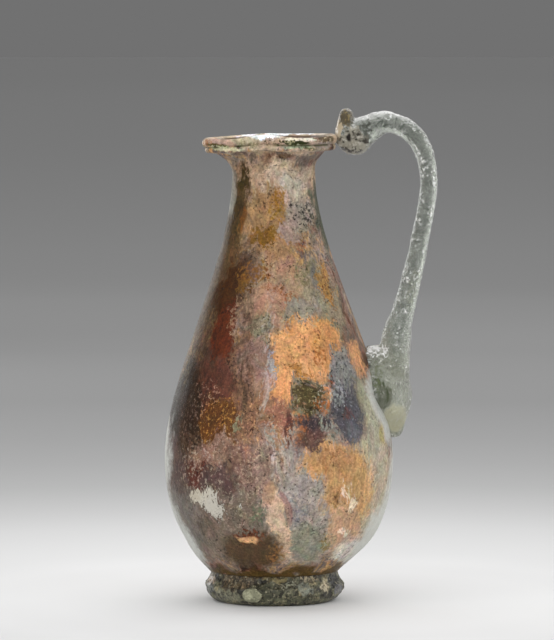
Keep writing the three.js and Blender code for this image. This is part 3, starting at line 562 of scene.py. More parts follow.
# Stains on the photographed side: place from the axis and height, half width and half height, tilt (the top
# leans right where it is positive), colour, strength, and look, which is ragged at the edge where none is
# given. The broad ones come first.
STAINS = (
    # grounds
    (-9.6, 74, 5, 14, 13, "#5b4528", 1),
    (0, 75, 6.4, 8.5, 0, "#9b7853", 0.9),
    (-12, 59, 5.6, 14, 18, "#553f2a", 0.95),
    (-8.6, 62, 3.4, 12, 20, "#4c331f", 0.9, "melted"),
    (2.5, 60, 9.5, 10, 0, "#a3866b", 0.9),
    (9.6, 60, 4, 10, -16, "#93876f", 0.9, "melted"),
    (-13.6, 43, 9, 14, 10, "#54392a", 1),
    (-12.6, 30, 12, 10, 0, "#66493a", 1),
    (-10, 17.5, 14, 10, 0, "#756658", 1),
    (-19.5, 29, 4, 12, 0, "#57453f", 0.9),
    (-17.4, 16.5, 4.4, 7.6, -20, "#6c645c", 0.9),
    (-3.6, 43, 6.4, 15, 0, "#8e674b", 0.95),
    (11.5, 41, 11, 10.5, 0, "#7b7362", 0.95),
    (7, 31, 11, 7.5, 0, "#9c8677", 0.95),
    (6.5, 19, 13, 13, 0, "#a59a8d", 0.95, "melted"),
    (19.6, 24, 4.6, 15, 0, "#b3a68f", 0.9, "melted"),
    (-1.5, 28.5, 6.6, 8.5, 0, "#8d7466", 0.9),
    # neck
    (-7.4, 79, 2, 9.5, 9, "#5b4328", 0.9, "streaked"),
    (-6.4, 84, 1.6, 1.9, 0, "#44350f", 0.95),
    (-6.5, 76.5, 1.6, 2.8, 8, "#744516", 0.85, "melted"),
    (-8.9, 74.5, 2.2, 9, 14, "#4b391e", 1),
    (-8.5, 82, 0.8, 5, 5, "#8b8878", 0.7, "melted"),
    (-7.9, 69.5, 1.6, 5, 14, "#6b4d2d", 0.85, "speckled"),
    (2.6, 84.4, 5.6, 4.6, 0, "#c4b099", 0.9),
    (3.6, 83.6, 2.8, 2.6, 0, "#bbb3a4", 0.75, "melted"),
    (-1.2, 79, 4.4, 5, 0, "#a07b52", 0.8),
    (0.8, 79.3, 2.1, 3.8, -8, "#936a22", 0.95, "speckled"),
    (-1.7, 73.7, 3.5, 2.7, 0, "#85590f", 1, "speckled"),
    (-1.9, 73.7, 3, 2.2, 0, "#7d560d", 0.9),
    (5.3, 78.2, 3.2, 4, 0, "#9d9183", 0.9),
    (5.8, 77.6, 2.8, 3.8, -10, "#211b18", 0.95, "specks"),
    (6.9, 77, 0.9, 2.6, -10, "#26201c", 0.95, "speckled"),
    (3.2, 74.4, 2.2, 2.4, 0, "#a08b80", 0.85),
    (7.6, 72.6, 1.5, 3.9, -14, "#84705a", 0.8, "speckled"),
    (9.2, 76.4, 1.6, 8.8, -13, "#4f503c", 1, "melted"),
    (5.5, 71.8, 1.3, 1, 15, "#8f4d22", 0.8, "speckled"),
    # shoulder
    (-13.3, 61.5, 1.9, 11, 21, "#544129", 0.85),
    (-9.3, 63, 2.6, 7.6, 22, "#432508", 1),
    (-10, 54.6, 2.5, 6.6, 8, "#5a2509", 1),
    (-7.6, 57, 1.3, 3.4, 0, "#9f7f62", 0.8, "speckled"),
    (-13.8, 53.5, 1.7, 6.5, 20, "#6a5335", 0.85, "speckled"),
    (-3.9, 66.4, 4.4, 2.2, 8, "#875a20", 0.95, "speckled"),
    (-6.2, 63.6, 1.4, 2.8, 20, "#6c4812", 0.95),
    (-1.6, 66.8, 0.9, 1.5, 0, "#6f431f", 0.8, "speckled"),
    (3, 67.2, 2.6, 2.2, 0, "#a37a62", 0.85),
    (6.3, 65.6, 2.6, 2.8, 0, "#77704f", 0.9, "speckled"),
    (8.4, 64, 1.1, 3.4, -22, "#6f6b66", 0.75, "melted"),
    (10.2, 63.2, 1.4, 4.2, -18, "#a57a40", 0.95),
    (10.6, 64, 1.1, 2.8, -18, "#6a3014", 0.95, "specks"),
    (-0.8, 60.8, 4.2, 3.6, 0, "#ab826a", 0.9),
    (0.4, 62.9, 3, 1, 0, "#8d5730", 0.85, "speckled"),
    (3.7, 60.3, 1.7, 1.6, 0, "#86481f", 0.85, "speckled"),
    (4.4, 57.4, 2.5, 1.6, 0, "#96837b", 0.8, "melted"),
    # orange panel, its left side cut off straight by what flaked away there
    (6, 51.2, 7.4, 6.9, 0, "#d59c68", 1),
    (10, 52.4, 3.6, 5.4, -12, "#cc9059", 0.95),
    (1.8, 45, 2.7, 5.9, 0, "#d69c66", 1),
    (3.4, 56.4, 1.1, 2.2, 0, "#d9985a", 0.95),
    (5.6, 58.6, 4.8, 1.9, -20, "#938a7a", 0.95),
    (8.8, 50, 1.2, 2.4, 0, "#9a5a22", 0.8, "speckled"),
    (7.5, 50, 5.2, 5.6, 0, "#7a4216", 0.9, "pricks"),
    (5.2, 46.4, 2.6, 1, 10, "#ae7639", 0.9),
    (-2.7, 55.4, 2.6, 3.6, 0, "#8b7d63", 1),
    (-2.4, 55.4, 2.4, 3.4, 0, "#3a3020", 0.8, "specks"),
    (-3.7, 48.6, 3.5, 5.2, 0, "#8e7061", 1),
    (-5.9, 47.6, 3, 5.2, 0, "#6b4e3f", 0.9, "speckled"),
    (-0.7, 48.4, 0.6, 3.8, 0, "#908d93", 0.9),
    (16.4, 49.2, 1.8, 4.8, -18, "#c49064", 0.95),
    (13.4, 46.8, 2.8, 4.8, -12, "#87857f", 0.95),
    (13, 47.2, 2.8, 4.6, -12, "#2f2e34", 0.9, "specks"),
    # left of the belly
    (-18.4, 41, 2.6, 9, 10, "#2e2210", 1),
    (-16.9, 49.5, 1.8, 5.4, 19, "#66573a", 0.8, "speckled"),
    (-16.4, 38.6, 3.6, 9.4, 8, "#33200f", 1),
    (-15.8, 37, 3.4, 8, 8, "#7d6656", 0.8, "specks"),
    (-11.2, 44.2, 4.4, 5.2, 8, "#5b3223", 0.95),
    (-10.6, 36.3, 5, 5.9, 0, "#5f370f", 1),
    (-10.6, 37.2, 4.8, 5.8, 0, "#b5813c", 0.75, "specks"),
    (-12.6, 42.2, 3.2, 3, 0, "#ab8570", 0.7, "specks"),
    (-16.4, 33, 2.6, 4.4, 0, "#59402f", 0.9, "speckled"),
    (-11.6, 30.7, 7, 4, 0, "#8c6c5a", 0.9),
    (-9.8, 31.2, 7, 3.6, 0, "#a88f7c", 0.6, "specks"),
    (-15, 26.4, 3.4, 3.8, 0, "#57291c", 0.9),
    (-11.2, 25, 4.4, 3.8, -15, "#553f3b", 0.95),
    (-6.8, 29.5, 2.8, 5.6, 0, "#63463c", 0.85, "speckled"),
    (-14.6, 27.6, 5.6, 7, 0, "#b5a290", 0.55, "specks"),
    # middle of the belly
    (-4.7, 39, 3.2, 8.6, 0, "#936a50", 0.9, "streaked"),
    (-5.6, 42, 1.5, 7.2, 0, "#5a4430", 0.9, "streaked"),
    (-4, 37.4, 2.8, 7.2, 0, "#c2956c", 0.75, "specks"),
    (-7, 36.8, 0.7, 2.8, 20, "#8f8c6e", 0.85),
    (-3.7, 36.7, 1.3, 1, 0, "#472518", 0.9, "speckled"),
    (1.7, 37.8, 2.9, 5.4, 0, "#9d6b54", 0.95),
    (1.6, 37, 2.6, 5, 0, "#c69c79", 0.7, "specks"),
    (1.5, 42.5, 2.4, 1.7, 0, "#cd905f", 1),
    (3, 36.3, 0.8, 4.2, 0, "#513029", 0.9, "melted"),
    (4.2, 36.8, 1, 5.8, 0, "#8f877f", 1),
    (4.2, 36.4, 0.8, 5.6, 0, "#c3bcb2", 0.9, "speckled"),
    (2.9, 32.4, 1.4, 2, -20, "#968b84", 0.9),
    (-0.2, 33, 1.1, 5, 0, "#a0978f", 0.9, "speckled"),
    (1.2, 33.6, 0.7, 3.2, 0, "#a87a52", 0.8),
    (-2.4, 28, 5.2, 5.6, 0, "#bda58d", 0.6, "specks"),
    (-1.4, 50, 1.2, 14, 2, "#b7aca3", 0.6, "streaked"),
    (-5.8, 50, 2.4, 16, 4, "#3e2b1e", 0.6, "streaked"),
    (1.2, 27, 3, 9, 0, "#c2b8ae", 0.6, "streaked"),
    (-14.4, 47, 3, 14, 12, "#2f2118", 0.6, "streaked"),
    # right of the belly
    (6.5, 40.8, 3, 4.4, 28, "#54472a", 1),
    (6.3, 41, 2.9, 3.6, 0, "#96895c", 0.85, "specks"),
    (5, 39.2, 1.3, 1.4, 0, "#89826a", 0.9),
    (9.9, 39.8, 2.5, 1.8, 0, "#a9622a", 0.9, "speckled"),
    (10.5, 43.6, 1.8, 3.2, 10, "#cc8a54", 0.95, "speckled"),
    (9.4, 42, 2.2, 3, 0, "#b5a897", 0.75, "specks"),
    (11.2, 45.4, 1.4, 1.1, 30, "#8a3d1d", 0.85, "speckled"),
    (8, 36.6, 5, 2.3, 0, "#423738", 1, "melted"),
    (7.5, 33.8, 4.2, 2.7, 0, "#63453c", 0.95, "melted"),
    (14, 39.3, 3.5, 7.2, -6, "#514e53", 1),
    (12.8, 43, 2.6, 3, 0, "#a3a4a2", 0.85, "speckled"),
    (11.2, 35.2, 0.6, 4.2, -38, "#8f8f84", 0.9),
    (15.9, 35, 2, 3.6, 0, "#5f5d63", 0.95, "melted"),
    (14, 38.6, 3.3, 6.6, -6, "#93929a", 0.7, "pricks"),
    (14.6, 38.2, 0.9, 1.4, 0, "#65443f", 0.8),
    (7.8, 35.4, 5.4, 4.6, 0, "#93796a", 0.65, "specks"),
    (4.8, 37, 2, 4, 0, "#b9703c", 0.6, "speckled"),
    (18.4, 39.8, 1.6, 7.4, -16, "#98957c", 0.9, "melted"),
    (19.6, 34, 1.4, 4.6, -8, "#a09a84", 0.85, "melted"),
    (21, 35, 0.5, 2.8, -8, "#a6985a", 0.85, "melted"),
    # low on the belly
    (5.2, 24.4, 5.4, 7.6, 0, "#a59a91", 0.9, "melted"),
    (4.6, 20.4, 3.2, 3.8, 0, "#75757a", 0.75, "speckled"),
    (6.3, 13.4, 5.2, 4.6, 0, "#8b8a78", 0.95, "melted"),
    (15, 24.2, 6.4, 8.6, -4, "#c29867", 1),
    (10.2, 29.4, 5.8, 3.4, 8, "#c09365", 1),
    (13.9, 16, 3.8, 7, 6, "#bf9a79", 0.95),
    (11, 29.2, 3.6, 2, 0, "#8f6236", 0.7, "speckled"),
    (15.4, 27.4, 1.6, 4.4, 0, "#ae8047", 0.5, "streaked"),
    (12, 21.8, 1.6, 1.7, 0, "#8c693f", 0.8, "speckled"),
    (14.6, 24, 5.8, 7.6, 0, "#805a32", 0.35, "pricks"),
    (15.1, 22.6, 1.4, 2.6, 0, "#e6d3b8", 1),
    (13.7, 14.9, 0.9, 1.9, 0, "#dccbb3", 0.9),
    (14.9, 12, 3.8, 3.6, -30, "#c2ae9c", 0.85, "melted"),
    (9.9, 13, 0.7, 2.1, 0, "#8a7647", 0.8),
    (15, 10.6, 5, 3.4, 36, "#cdc8bd", 0.85, "melted"),
    (0.9, 17.2, 2.3, 9, -17, "#d0b196", 1),
    (-1.1, 23.2, 1.7, 2.4, -10, "#ad8b70", 1, "melted"),
    (2.2, 20.8, 0.9, 3.8, -17, "#977067", 0.75, "melted"),
    (-8, 18.4, 8, 6, 0, "#736456", 0.9),
    (-7.2, 21, 6.8, 4.8, 0, "#b3a28d", 0.6, "specks"),
    (-2.9, 18.8, 2, 2.2, 0, "#66735a", 0.85, "speckled"),
    (-4, 12, 7.4, 4.4, 0, "#54402a", 1, "melted"),
    (0.9, 11.6, 2.2, 2.3, 0, "#8a6337", 0.85, "speckled"),
    (-5.2, 14.9, 3.4, 1.5, 0, "#66351c", 0.95),
    (-5.2, 14.3, 3, 1.2, 0, "#d9a678", 1, "melted"),
    (-13.6, 16.4, 2.8, 1.4, -38, "#57493c", 0.8, "speckled"),
)

# Marks on the folded lip, in the same way, from the left lobe over the raised pinch to the handle. Some are
# painted light: white highlights on the pinch and along the upper bead, and shade under the lower bead and
# under the pinch.
LIP_MARKS = (
    (-10.6, 92, 4.4, 1.2, 3, "#b89a88", 0.9),
    (-12.6, 92.8, 2, 0.7, 8, "#d9ccb6", 0.85, "melted"),
    (-13.4, 91.7, 1.6, 0.8, 0, "#9a6138", 0.9, "speckled"),
    (-14.2, 90.7, 1.8, 0.6, 0, "#8d7a35", 0.9, "melted"),
    (-11.4, 91.1, 3.4, 0.4, 4, "#5f5222", 1, "melted"),
    (-9.8, 90.5, 4.6, 0.6, 4, "#d2cfa8", 0.95, "melted"),
    (-6.4, 92, 2.6, 1, 6, "#b6ab92", 0.85),
    (-5, 91.4, 2.4, 0.6, 4, "#7a7050", 0.8, "speckled"),
    # painted highlight: white on the raised pinch
    (-1.4, 93.1, 4.6, 1.3, 4, "#ffffff", 1, "melted"),
    (-0.4, 91.9, 2.6, 1, 0, "#b39a82", 0.85),
    (-0.2, 91.9, 2.6, 1.1, 0, "#4b4a2a", 0.95, "specks"),
    # painted highlight: a white line along the top of the upper bead
    (4.9, 92.4, 3.9, 0.42, 0, "#efe6d2", 1),
    (4, 91.75, 3.4, 0.5, 0, "#363c18", 1),
    (3, 91.8, 1.3, 0.4, 0, "#cfc39b", 0.7, "speckled"),
    (4.6, 90.95, 3.9, 0.45, 0, "#aab295", 1, "melted"),
    (5, 89.95, 3.6, 0.7, 0, "#c8af98", 0.9),
    # painted shade: an olive line under the lower bead
    (6.8, 90.55, 1.8, 0.25, 0, "#6c6a4e", 0.85, "melted"),
    (9.6, 93.2, 2.4, 0.7, 0, "#d9cbb4", 0.9),
    (10.6, 92.4, 2.6, 1, 0, "#5d4a33", 0.95),
    (10.6, 92.4, 2.4, 0.8, 0, "#c9b59a", 0.8, "specks"),
    (10, 91.2, 2.8, 0.8, 0, "#a5938a", 0.9),
    # painted shade: brown in the dent under the pinch
    (2, 89.1, 2.2, 0.6, 0, "#6d5138", 0.85, "melted"),
)

# Crusts of lime that stand proud: the white patch on the left, and a fleck beside it.
CRUSTS = (
    (-14.9, 21.9, 2.9, 1.7, -12, "#bdb4a2"),
    (-11.9, 20.3, 2.6, 2.2, -20, "#c3bdb1"),
    (-13.4, 21.6, 2.4, 1.3, -30, "#c6bfb0"),
    (-6.2, 20.2, 0.5, 0.55, 0, "#dcd8cc"),
)

# Where the film came off and the glass shows, painted pale there as the light seen through the rims: place,
# half sizes, and tilt.
BARE_GLASS_PAINTED_PALE = (
    ((-24.6, 0, 29), (6.1, 15, 18), 0),
    ((-22.6, 0, 18), (5, 14, 10), -20),
    ((-19.4, -1, 11.5), (6.5, 14, 10), -42),
    ((25.4, 0, 23), (5, 14, 13), 0),
    ((20.6, -1, 14.4), (7.4, 15, 12), 34),
    ((20.9, -2, 40), (3, 12, 10), -16),
    ((-21.9, -2, 46), (2.2, 10, 10), 16),
)


def make_weathered_glass(front):
    """Blown soda-lime glass that lay in damp ground: its surface has turned to thin layers, which scatter
    light, stain with iron and manganese, and flake off. The eye sees satin patches of pink-buff, ochre, brown
    and violet with ragged edges, dark pits and pale flecks, and clear glass where the layers came off,
    painted pale at the body's sides as the light through the rims. White highlights are painted on the
    lip, and shade inside the mouth and under the lip's beads and pinch."""
    material, tree = bare_material("weathered_blown_glass")
    place = in_millimetres(tree)
    melted = strayed(tree, place, 5.0, 4.5, 2.0)
    ragged = strayed(tree, melted, 1.5, 1.7, 4.0)
    dusted = strayed(tree, ragged, 0.45, 3.0, 1.0)
    upright = add(tree, "Mapping", {"Vector": melted, "Scale": (1, 1, 0.14)})[0]
    soft_bite = bitten(tree, place, 2.6, 0.7)
    deep_bite = bitten(tree, place, 0.8, 1.5)
    nudged = strayed(tree, place, 0.8, 0.9, 3.0)
    # a grain of film is about 0.3 mm, which is a pixel and a half of the photograph
    covers = {
        "speckled": grains(tree, place, 0.7, 0.42, 0.58, 3.0),
        "specks": grains(tree, place, 0.6, 0.54, 0.64, 2.0),
        "pricks": grains(tree, place, 0.7, 0.62, 0.70, 2.0),
        "streaked": grains(tree, upright, 0.7, 0.42, 0.62, 3.0),
    }
    clusters = grains(tree, melted, 4.5, 0.44, 0.60, 2.0)

    # the film all round, in upright streaks as the bubble was drawn, about 8 mm wide
    tall = add(tree, "Mapping", {"Vector": ragged, "Scale": (1, 1, 0.4)})[0]
    patches = add(tree, "TexNoise", {"Vector": tall, "Scale": 0.12, "Detail": 5.0, "Roughness": 0.62})["Fac"]
    stops = [(level, paint(code)) for level, code in FILM]
    colour = add(tree, "ValToRGB", {"Fac": patches}, stops)["Color"]

    # pink-buff neck, cream lip, and the white painted highlight on the lip's far crest
    for centre, half, code, strength in BROAD_TINTS_AND_HIGHLIGHT:
        colour = laid(tree, colour, code, spot(tree, ragged, centre, half, 0, 0.3, soft_bite, strength))
    edges = {"melted": (melted, 0.4, soft_bite), "ragged": (dusted, 0.34, soft_bite)}
    for x, z, half_x, half_z, tilt, *finish in STAINS:
        half = (1.1 * half_x, 1.4 * max(half_x, half_z) + 1.5, 1.1 * half_z)
        colour, _ = marked(tree, colour, (front(x, z), half, tilt), edges, covers, *finish)
    edges = {"melted": (nudged, 0.4, 0.0), "ragged": (nudged, 0.15, deep_bite)}
    for x, z, half_x, half_z, tilt, *finish in LIP_MARKS:
        half = (half_x, half_x + 1.0, half_z)
        colour, _ = marked(tree, colour, (front(x, z), half, tilt), edges, covers, *finish)

    # olive-brown soil in the seam over the foot
    seam = spot(tree, ragged, (0, 0, 5.8), (24, 24, 2.7), 0, 0.3, soft_bite)
    colour = laid(tree, colour, "#5a4522", seam)

    # pits, flecks, and unevenness from fine grains to the streaks of the draw
    pits = joined(tree, "MULTIPLY", grains(tree, place, 0.55, 0.58, 0.66), clusters)
    darker = add(tree, "VectorMath", {0: colour, "Scale": 0.3}, operation="SCALE")[0]
    colour = laid(tree, colour, darker, pits, 0.9)
    shifted = add(tree, "Mapping", {"Vector": place, "Location": (31, 17, 5)})[0]
    paler = add(tree, "VectorMath", {0: colour, "Scale": 1.6}, operation="SCALE")[0]
    colour = laid(tree, colour, paler, grains(tree, shifted, 0.55, 0.60, 0.70), 0.45)
    colour = uneven(tree, colour, upright, 1.0, 0.84, 1.16)
    colour = uneven(tree, colour, place, 0.5, 0.72, 1.28, 2.0)
    colour = uneven(tree, colour, ragged, 2.6, 0.8, 1.2, 2.0)
    hues = add(tree, "TexNoise", {"Vector": ragged, "Scale": 0.5, "Detail": 3.0, "Roughness": 0.6})["Color"]
    mixed = {0: hues, 1: (0.5, 0.4, 0.5), 2: (0.75, 0.8, 0.75)}
    hues = add(tree, "VectorMath", mixed, operation="MULTIPLY_ADD")[0]
    colour = add(tree, "VectorMath", {0: colour, 1: hues}, operation="MULTIPLY")[0]

    # the inside is painted dark as shade, and the crease of the lip holds dark green dirt
    inner = add(tree, "Attribute", attribute_name="inner")["Fac"]
    colour = laid(tree, colour, "#41281a", inner, 0.85)
    crease = add(tree, "Attribute", attribute_name="crease")["Fac"]
    colour = laid(tree, colour, "#4a4c2a", crease, clusters)

    crusts = []
    for x, z, half_x, half_z, tilt, code in CRUSTS:
        half = (half_x, half_x + 1.5, half_z)
        crusts.append(spot(tree, dusted, front(x, z), half, tilt, 0.2, deep_bite))
        colour = laid(tree, colour, code, crusts[-1])
    crust = joined(tree, "MAXIMUM", *crusts)

    # bare glass, with wisps of film left on it, painted near white as the light seen through the rims
    bare_and_painted_light = joined(tree, "MAXIMUM", *(spot(tree, melted, *region, 0.4, soft_bite) for region in BARE_GLASS_PAINTED_PALE))
    wisps = {"Value": deep_bite, "From Min": -0.14, "From Max": 0.14, "To Min": 1.0, "To Max": 0.75}
    bare_and_painted_light = joined(tree, "MULTIPLY", bare_and_painted_light, add(tree, "MapRange", wisps)[0])
    # painted light: near white where the bare glass lets the bright floor show through
    colour = laid(tree, colour, "#e9ebe3", bare_and_painted_light)
    clear = add(tree, "MapRange", {"Value": bare_and_painted_light, "To Min": 0.03, "To Max": 0.45})[0]

    fine = add(tree, "TexNoise", {"Vector": place, "Scale": 1.6, "Detail": 4.0, "Roughness": 0.7})["Fac"]
    satin = {"Value": fine, "From Min": 0.3, "From Max": 0.7, "To Min": 0.35, "To Max": 0.6}
    chalky = add(tree, "MapRange", {"Value": crust, "To Min": 0.0, "To Max": 0.4})[0]
    rough = joined(tree, "ADD", add(tree, "MapRange", satin)[0], chalky)
    height = add(tree, "Math", {0: fine, 1: 0.6, 2: crust}, operation="MULTIPLY_ADD")[0]
    height = add(tree, "Math", {0: pits, 1: -0.7, 2: height}, operation="MULTIPLY_ADD")[0]
    sockets = {"Base Color": colour, "Roughness": rough, "Transmission Weight": clear}
    return shaded(material, {**sockets, "IOR": 1.5, "Specular IOR Level": 0.2}, height, 0.15)


# Marks on the handle: place, half sizes, tilt, share of light let through, colour, strength, and look.
HANDLE_MARKS = (
    ((23.4, -2, 95.2), (5.5, 3, 1.4), 0, 0.3, "#3b423a", 0.9, "specks"),
    ((18.8, -2, 93.8), (2.6, 4, 2.4), 0, 0.3, "#34362a", 0.9, "blotched"),
    ((27.6, -2, 92.6), (2, 3, 3.4), 40, 0.4, "#40473f", 0.8, "specks"),
    # painted highlight: white speckles on the claw's shelf
    ((20.4, -3, 50.4), (3.2, 6, 2), 0, 0.2, "#ffffff", 1, "speckled"),
    ((14.4, 0, 96), (2.1, 4, 2.7), 0, 0.1, "#4d3e1b", 0.95),
    ((14.4, 0, 96.2), (2, 4, 2.6), 0, 0.1, "#a8935f", 0.55, "specks"),
    ((12.9, -1, 94.4), (0.9, 4, 2.4), -8, 0.05, "#c0ae90", 0.9),
    ((15.6, -1, 91.8), (3.6, 5, 3.6), 0, 0.2, "#a9a290", 0.9),
    ((15.6, -1, 91.4), (3.8, 5, 3.6), 0, 0.05, "#241e12", 0.95, "blotched"),
    ((15.4, -1, 92.4), (3.2, 5, 3), 0, 0.2, "#d9d3c4", 0.6, "specks"),
    # painted shade: near black in the pit of the fold
    ((14.9, 0, 92.6), (0.9, 5, 1.3), 0, 0, "#241c10", 1, "melted"),
    ((21.6, -5, 41), (2.2, 6, 2.8), -12, 0.15, "#44472a", 0.75),
    ((21.2, -5, 41.8), (2.1, 6, 3.2), -12, 0.1, "#37411f", 0.95, "streaked"),
    ((20.2, -5, 45), (1.8, 6, 3.4), 0, 0.3, "#69724f", 0.8, "speckled"),
    ((24, -3, 37), (3.4, 6, 3.8), 0, 0.45, "#cdc9a6", 0.9, "melted"),
    ((27.5, -1, 62), (1.6, 3, 6), 16, 0.6, "#a8ab90", 0.6, "speckled"),
)


def make_clear_glass():
    """Drawn soda-lime glass, tinged aqua by its iron: clear and glossy, with fine pits from burial, lines
    along the draw, and a thin white bloom in patches. White is painted on the faces that point up and on the
    claw's shelf as highlights. The fold holds brown dirt, and shade is painted into its pit."""
    material, tree = bare_material("clear_drawn_glass")
    place = in_millimetres(tree)
    melted = strayed(tree, place, 3.0, 2.4, 3.0)
    ragged = strayed(tree, melted, 0.9, 1.6, 4.0)
    soft_bite = bitten(tree, place, 2.0, 0.5)
    deep_bite = bitten(tree, place, 0.8, 1.0)
    lines = add(tree, "Mapping", {"Vector": place, "Scale": (1, 1, 0.12)})[0]
    covers = {
        "speckled": grains(tree, place, 0.6, 0.45, 0.56, 3.0),
        "specks": grains(tree, place, 0.6, 0.53, 0.60, 3.0),
        "streaked": grains(tree, lines, 0.9, 0.44, 0.60, 4.0),
        "blotched": grains(tree, place, 1.6, 0.46, 0.54, 5.0),
    }
    # the bloom is a scatter of white pits, each 0.2 to 0.6 mm across, in clouds a few millimetres wide
    clouds = add(tree, "TexNoise", {"Vector": place, "Scale": 0.35, "Detail": 2.0})["Fac"]
    clouds = add(tree, "MapRange", {"Value": clouds, "From Min": 0.38, "From Max": 0.62})[0]
    bloom_and_highlight = joined(tree, "MULTIPLY", grains(tree, place, 0.7, 0.48, 0.62, 4.0), clouds)
    # the faces that point up are painted white as well: a painted highlight from the light overhead
    facing = add(tree, "NewGeometry")["Normal"]
    upward_highlight = joined(tree, "ADD", soft_bite, add(tree, "SeparateXYZ", {0: facing})["Z"])
    upward_highlight = add(tree, "MapRange", {"Value": upward_highlight, "From Min": 0.45, "From Max": 0.95})[0]
    bloom_and_highlight = joined(tree, "MAXIMUM", bloom_and_highlight, upward_highlight)
    colour = laid(tree, paint("#b9bfb4"), "#3f463b", grains(tree, place, 0.8, 0.50, 0.62, 4.0), 0.5)
    colour = laid(tree, colour, "#fafaf8", bloom_and_highlight)
    clear = add(tree, "MapRange", {"Value": bloom_and_highlight, "To Min": 0.95, "To Max": 0.3})[0]
    low = spot(tree, melted, (22, 0, 40), (9, 11, 19), 0, 0.7, soft_bite)
    colour = laid(tree, colour, "#bdc0a6", low, 0.85)
    clear = add(tree, "Mix", {0: low, 2: clear, 3: 0.55}, data_type="FLOAT")[0]
    edges = {"melted": (melted, 0.4, soft_bite), "ragged": (ragged, 0.2, deep_bite)}
    for centre, half, tilt, through, *finish in HANDLE_MARKS:
        colour, amount = marked(tree, colour, (centre, half, tilt), edges, covers, *finish)
        clear = add(tree, "Mix", {0: amount, 2: clear, 3: through}, data_type="FLOAT")[0]
    drawn = add(tree, "TexNoise", {"Vector": lines, "Scale": 1.1, "Detail": 3.0, "Roughness": 0.6})["Fac"]
    pits = add(tree, "TexNoise", {"Vector": place, "Scale": 2.6, "Detail": 4.0, "Roughness": 0.7})["Fac"]
    height = add(tree, "Math", {0: drawn, 1: 1.4, 2: pits}, operation="MULTIPLY_ADD")[0]
    gloss = add(tree, "MapRange", {"Value": bloom_and_highlight, "To Min": 0.05, "To Max": 0.3})[0]
    sockets = {"Base Color": colour, "Roughness": gloss, "Transmission Weight": clear}
    sheen = {"Sheen Weight": 0.5, "Sheen Roughness": 0.35}
    return shaded(material, {**sockets, **sheen, "IOR": 1.5}, height, 0.18)


# The foot's ground, along the levels of a noise
FOOT_GROUND = (
    (0.36, "#211e12"), (0.42, "#3f3b2a"), (0.48, "#565340"),
    (0.53, "#656750"), (0.60, "#7f7659"), (0.66, "#a89c78"),
)

# Marks on the front of the foot, as on the body.
FOOT_MARKS = (
    (-8.6, 4.6, 6, 1.9, 0, "#4f412b", 0.9),
    (-8.4, 4.5, 6, 1.9, 0, "#251a0c", 0.9, "specks"),
    (-8, 4.9, 5.4, 1.3, 0, "#a48c6c", 0.6, "specks"),
    (-12.8, 4.6, 1.2, 1.3, 20, "#9c8873", 0.9),
    (-9.6, 1.7, 4.4, 1.6, 0, "#6f6e5a", 0.85),
    (-9.4, 1.9, 3.8, 0.5, 14, "#8f8d78", 0.7, "speckled"),
    (-12.9, 2.6, 1.2, 1.2, 0, "#6e716b", 0.8),
    (-3.2, 6, 4.4, 0.8, 0, "#53401f", 0.9),
    (0.4, 5.4, 2.8, 0.8, 0, "#7d7047", 0.85),
    (-1, 2.8, 3.8, 2.2, 0, "#4a4a38", 0.95, "melted"),
    (3, 4.1, 1.8, 0.9, -12, "#9a9a85", 0.75, "speckled"),
    (6.2, 3.4, 2, 1.3, 10, "#85887a", 0.8),
    (7.2, 5.3, 2.4, 1, 22, "#a8987a", 0.85, "speckled"),
    (10, 3.6, 0.9, 0.9, 0, "#c2b598", 0.9),
    (12.2, 4.7, 1.7, 1.8, -8, "#1f1c12", 0.95),
    (12.9, 2.6, 1.1, 1.2, 0, "#67666c", 0.8),
    (8.6, 6.4, 4.2, 0.7, 0, "#3c2c14", 0.9),
    (3.4, 1.2, 6, 0.8, 0, "#5a5b45", 0.8),
    (5, 2, 5, 0.35, 6, "#34321f", 0.8, "speckled"),
)
FOOT_MARKS_AT = 188  # square of the radius of the foot's surface that their middles lie on


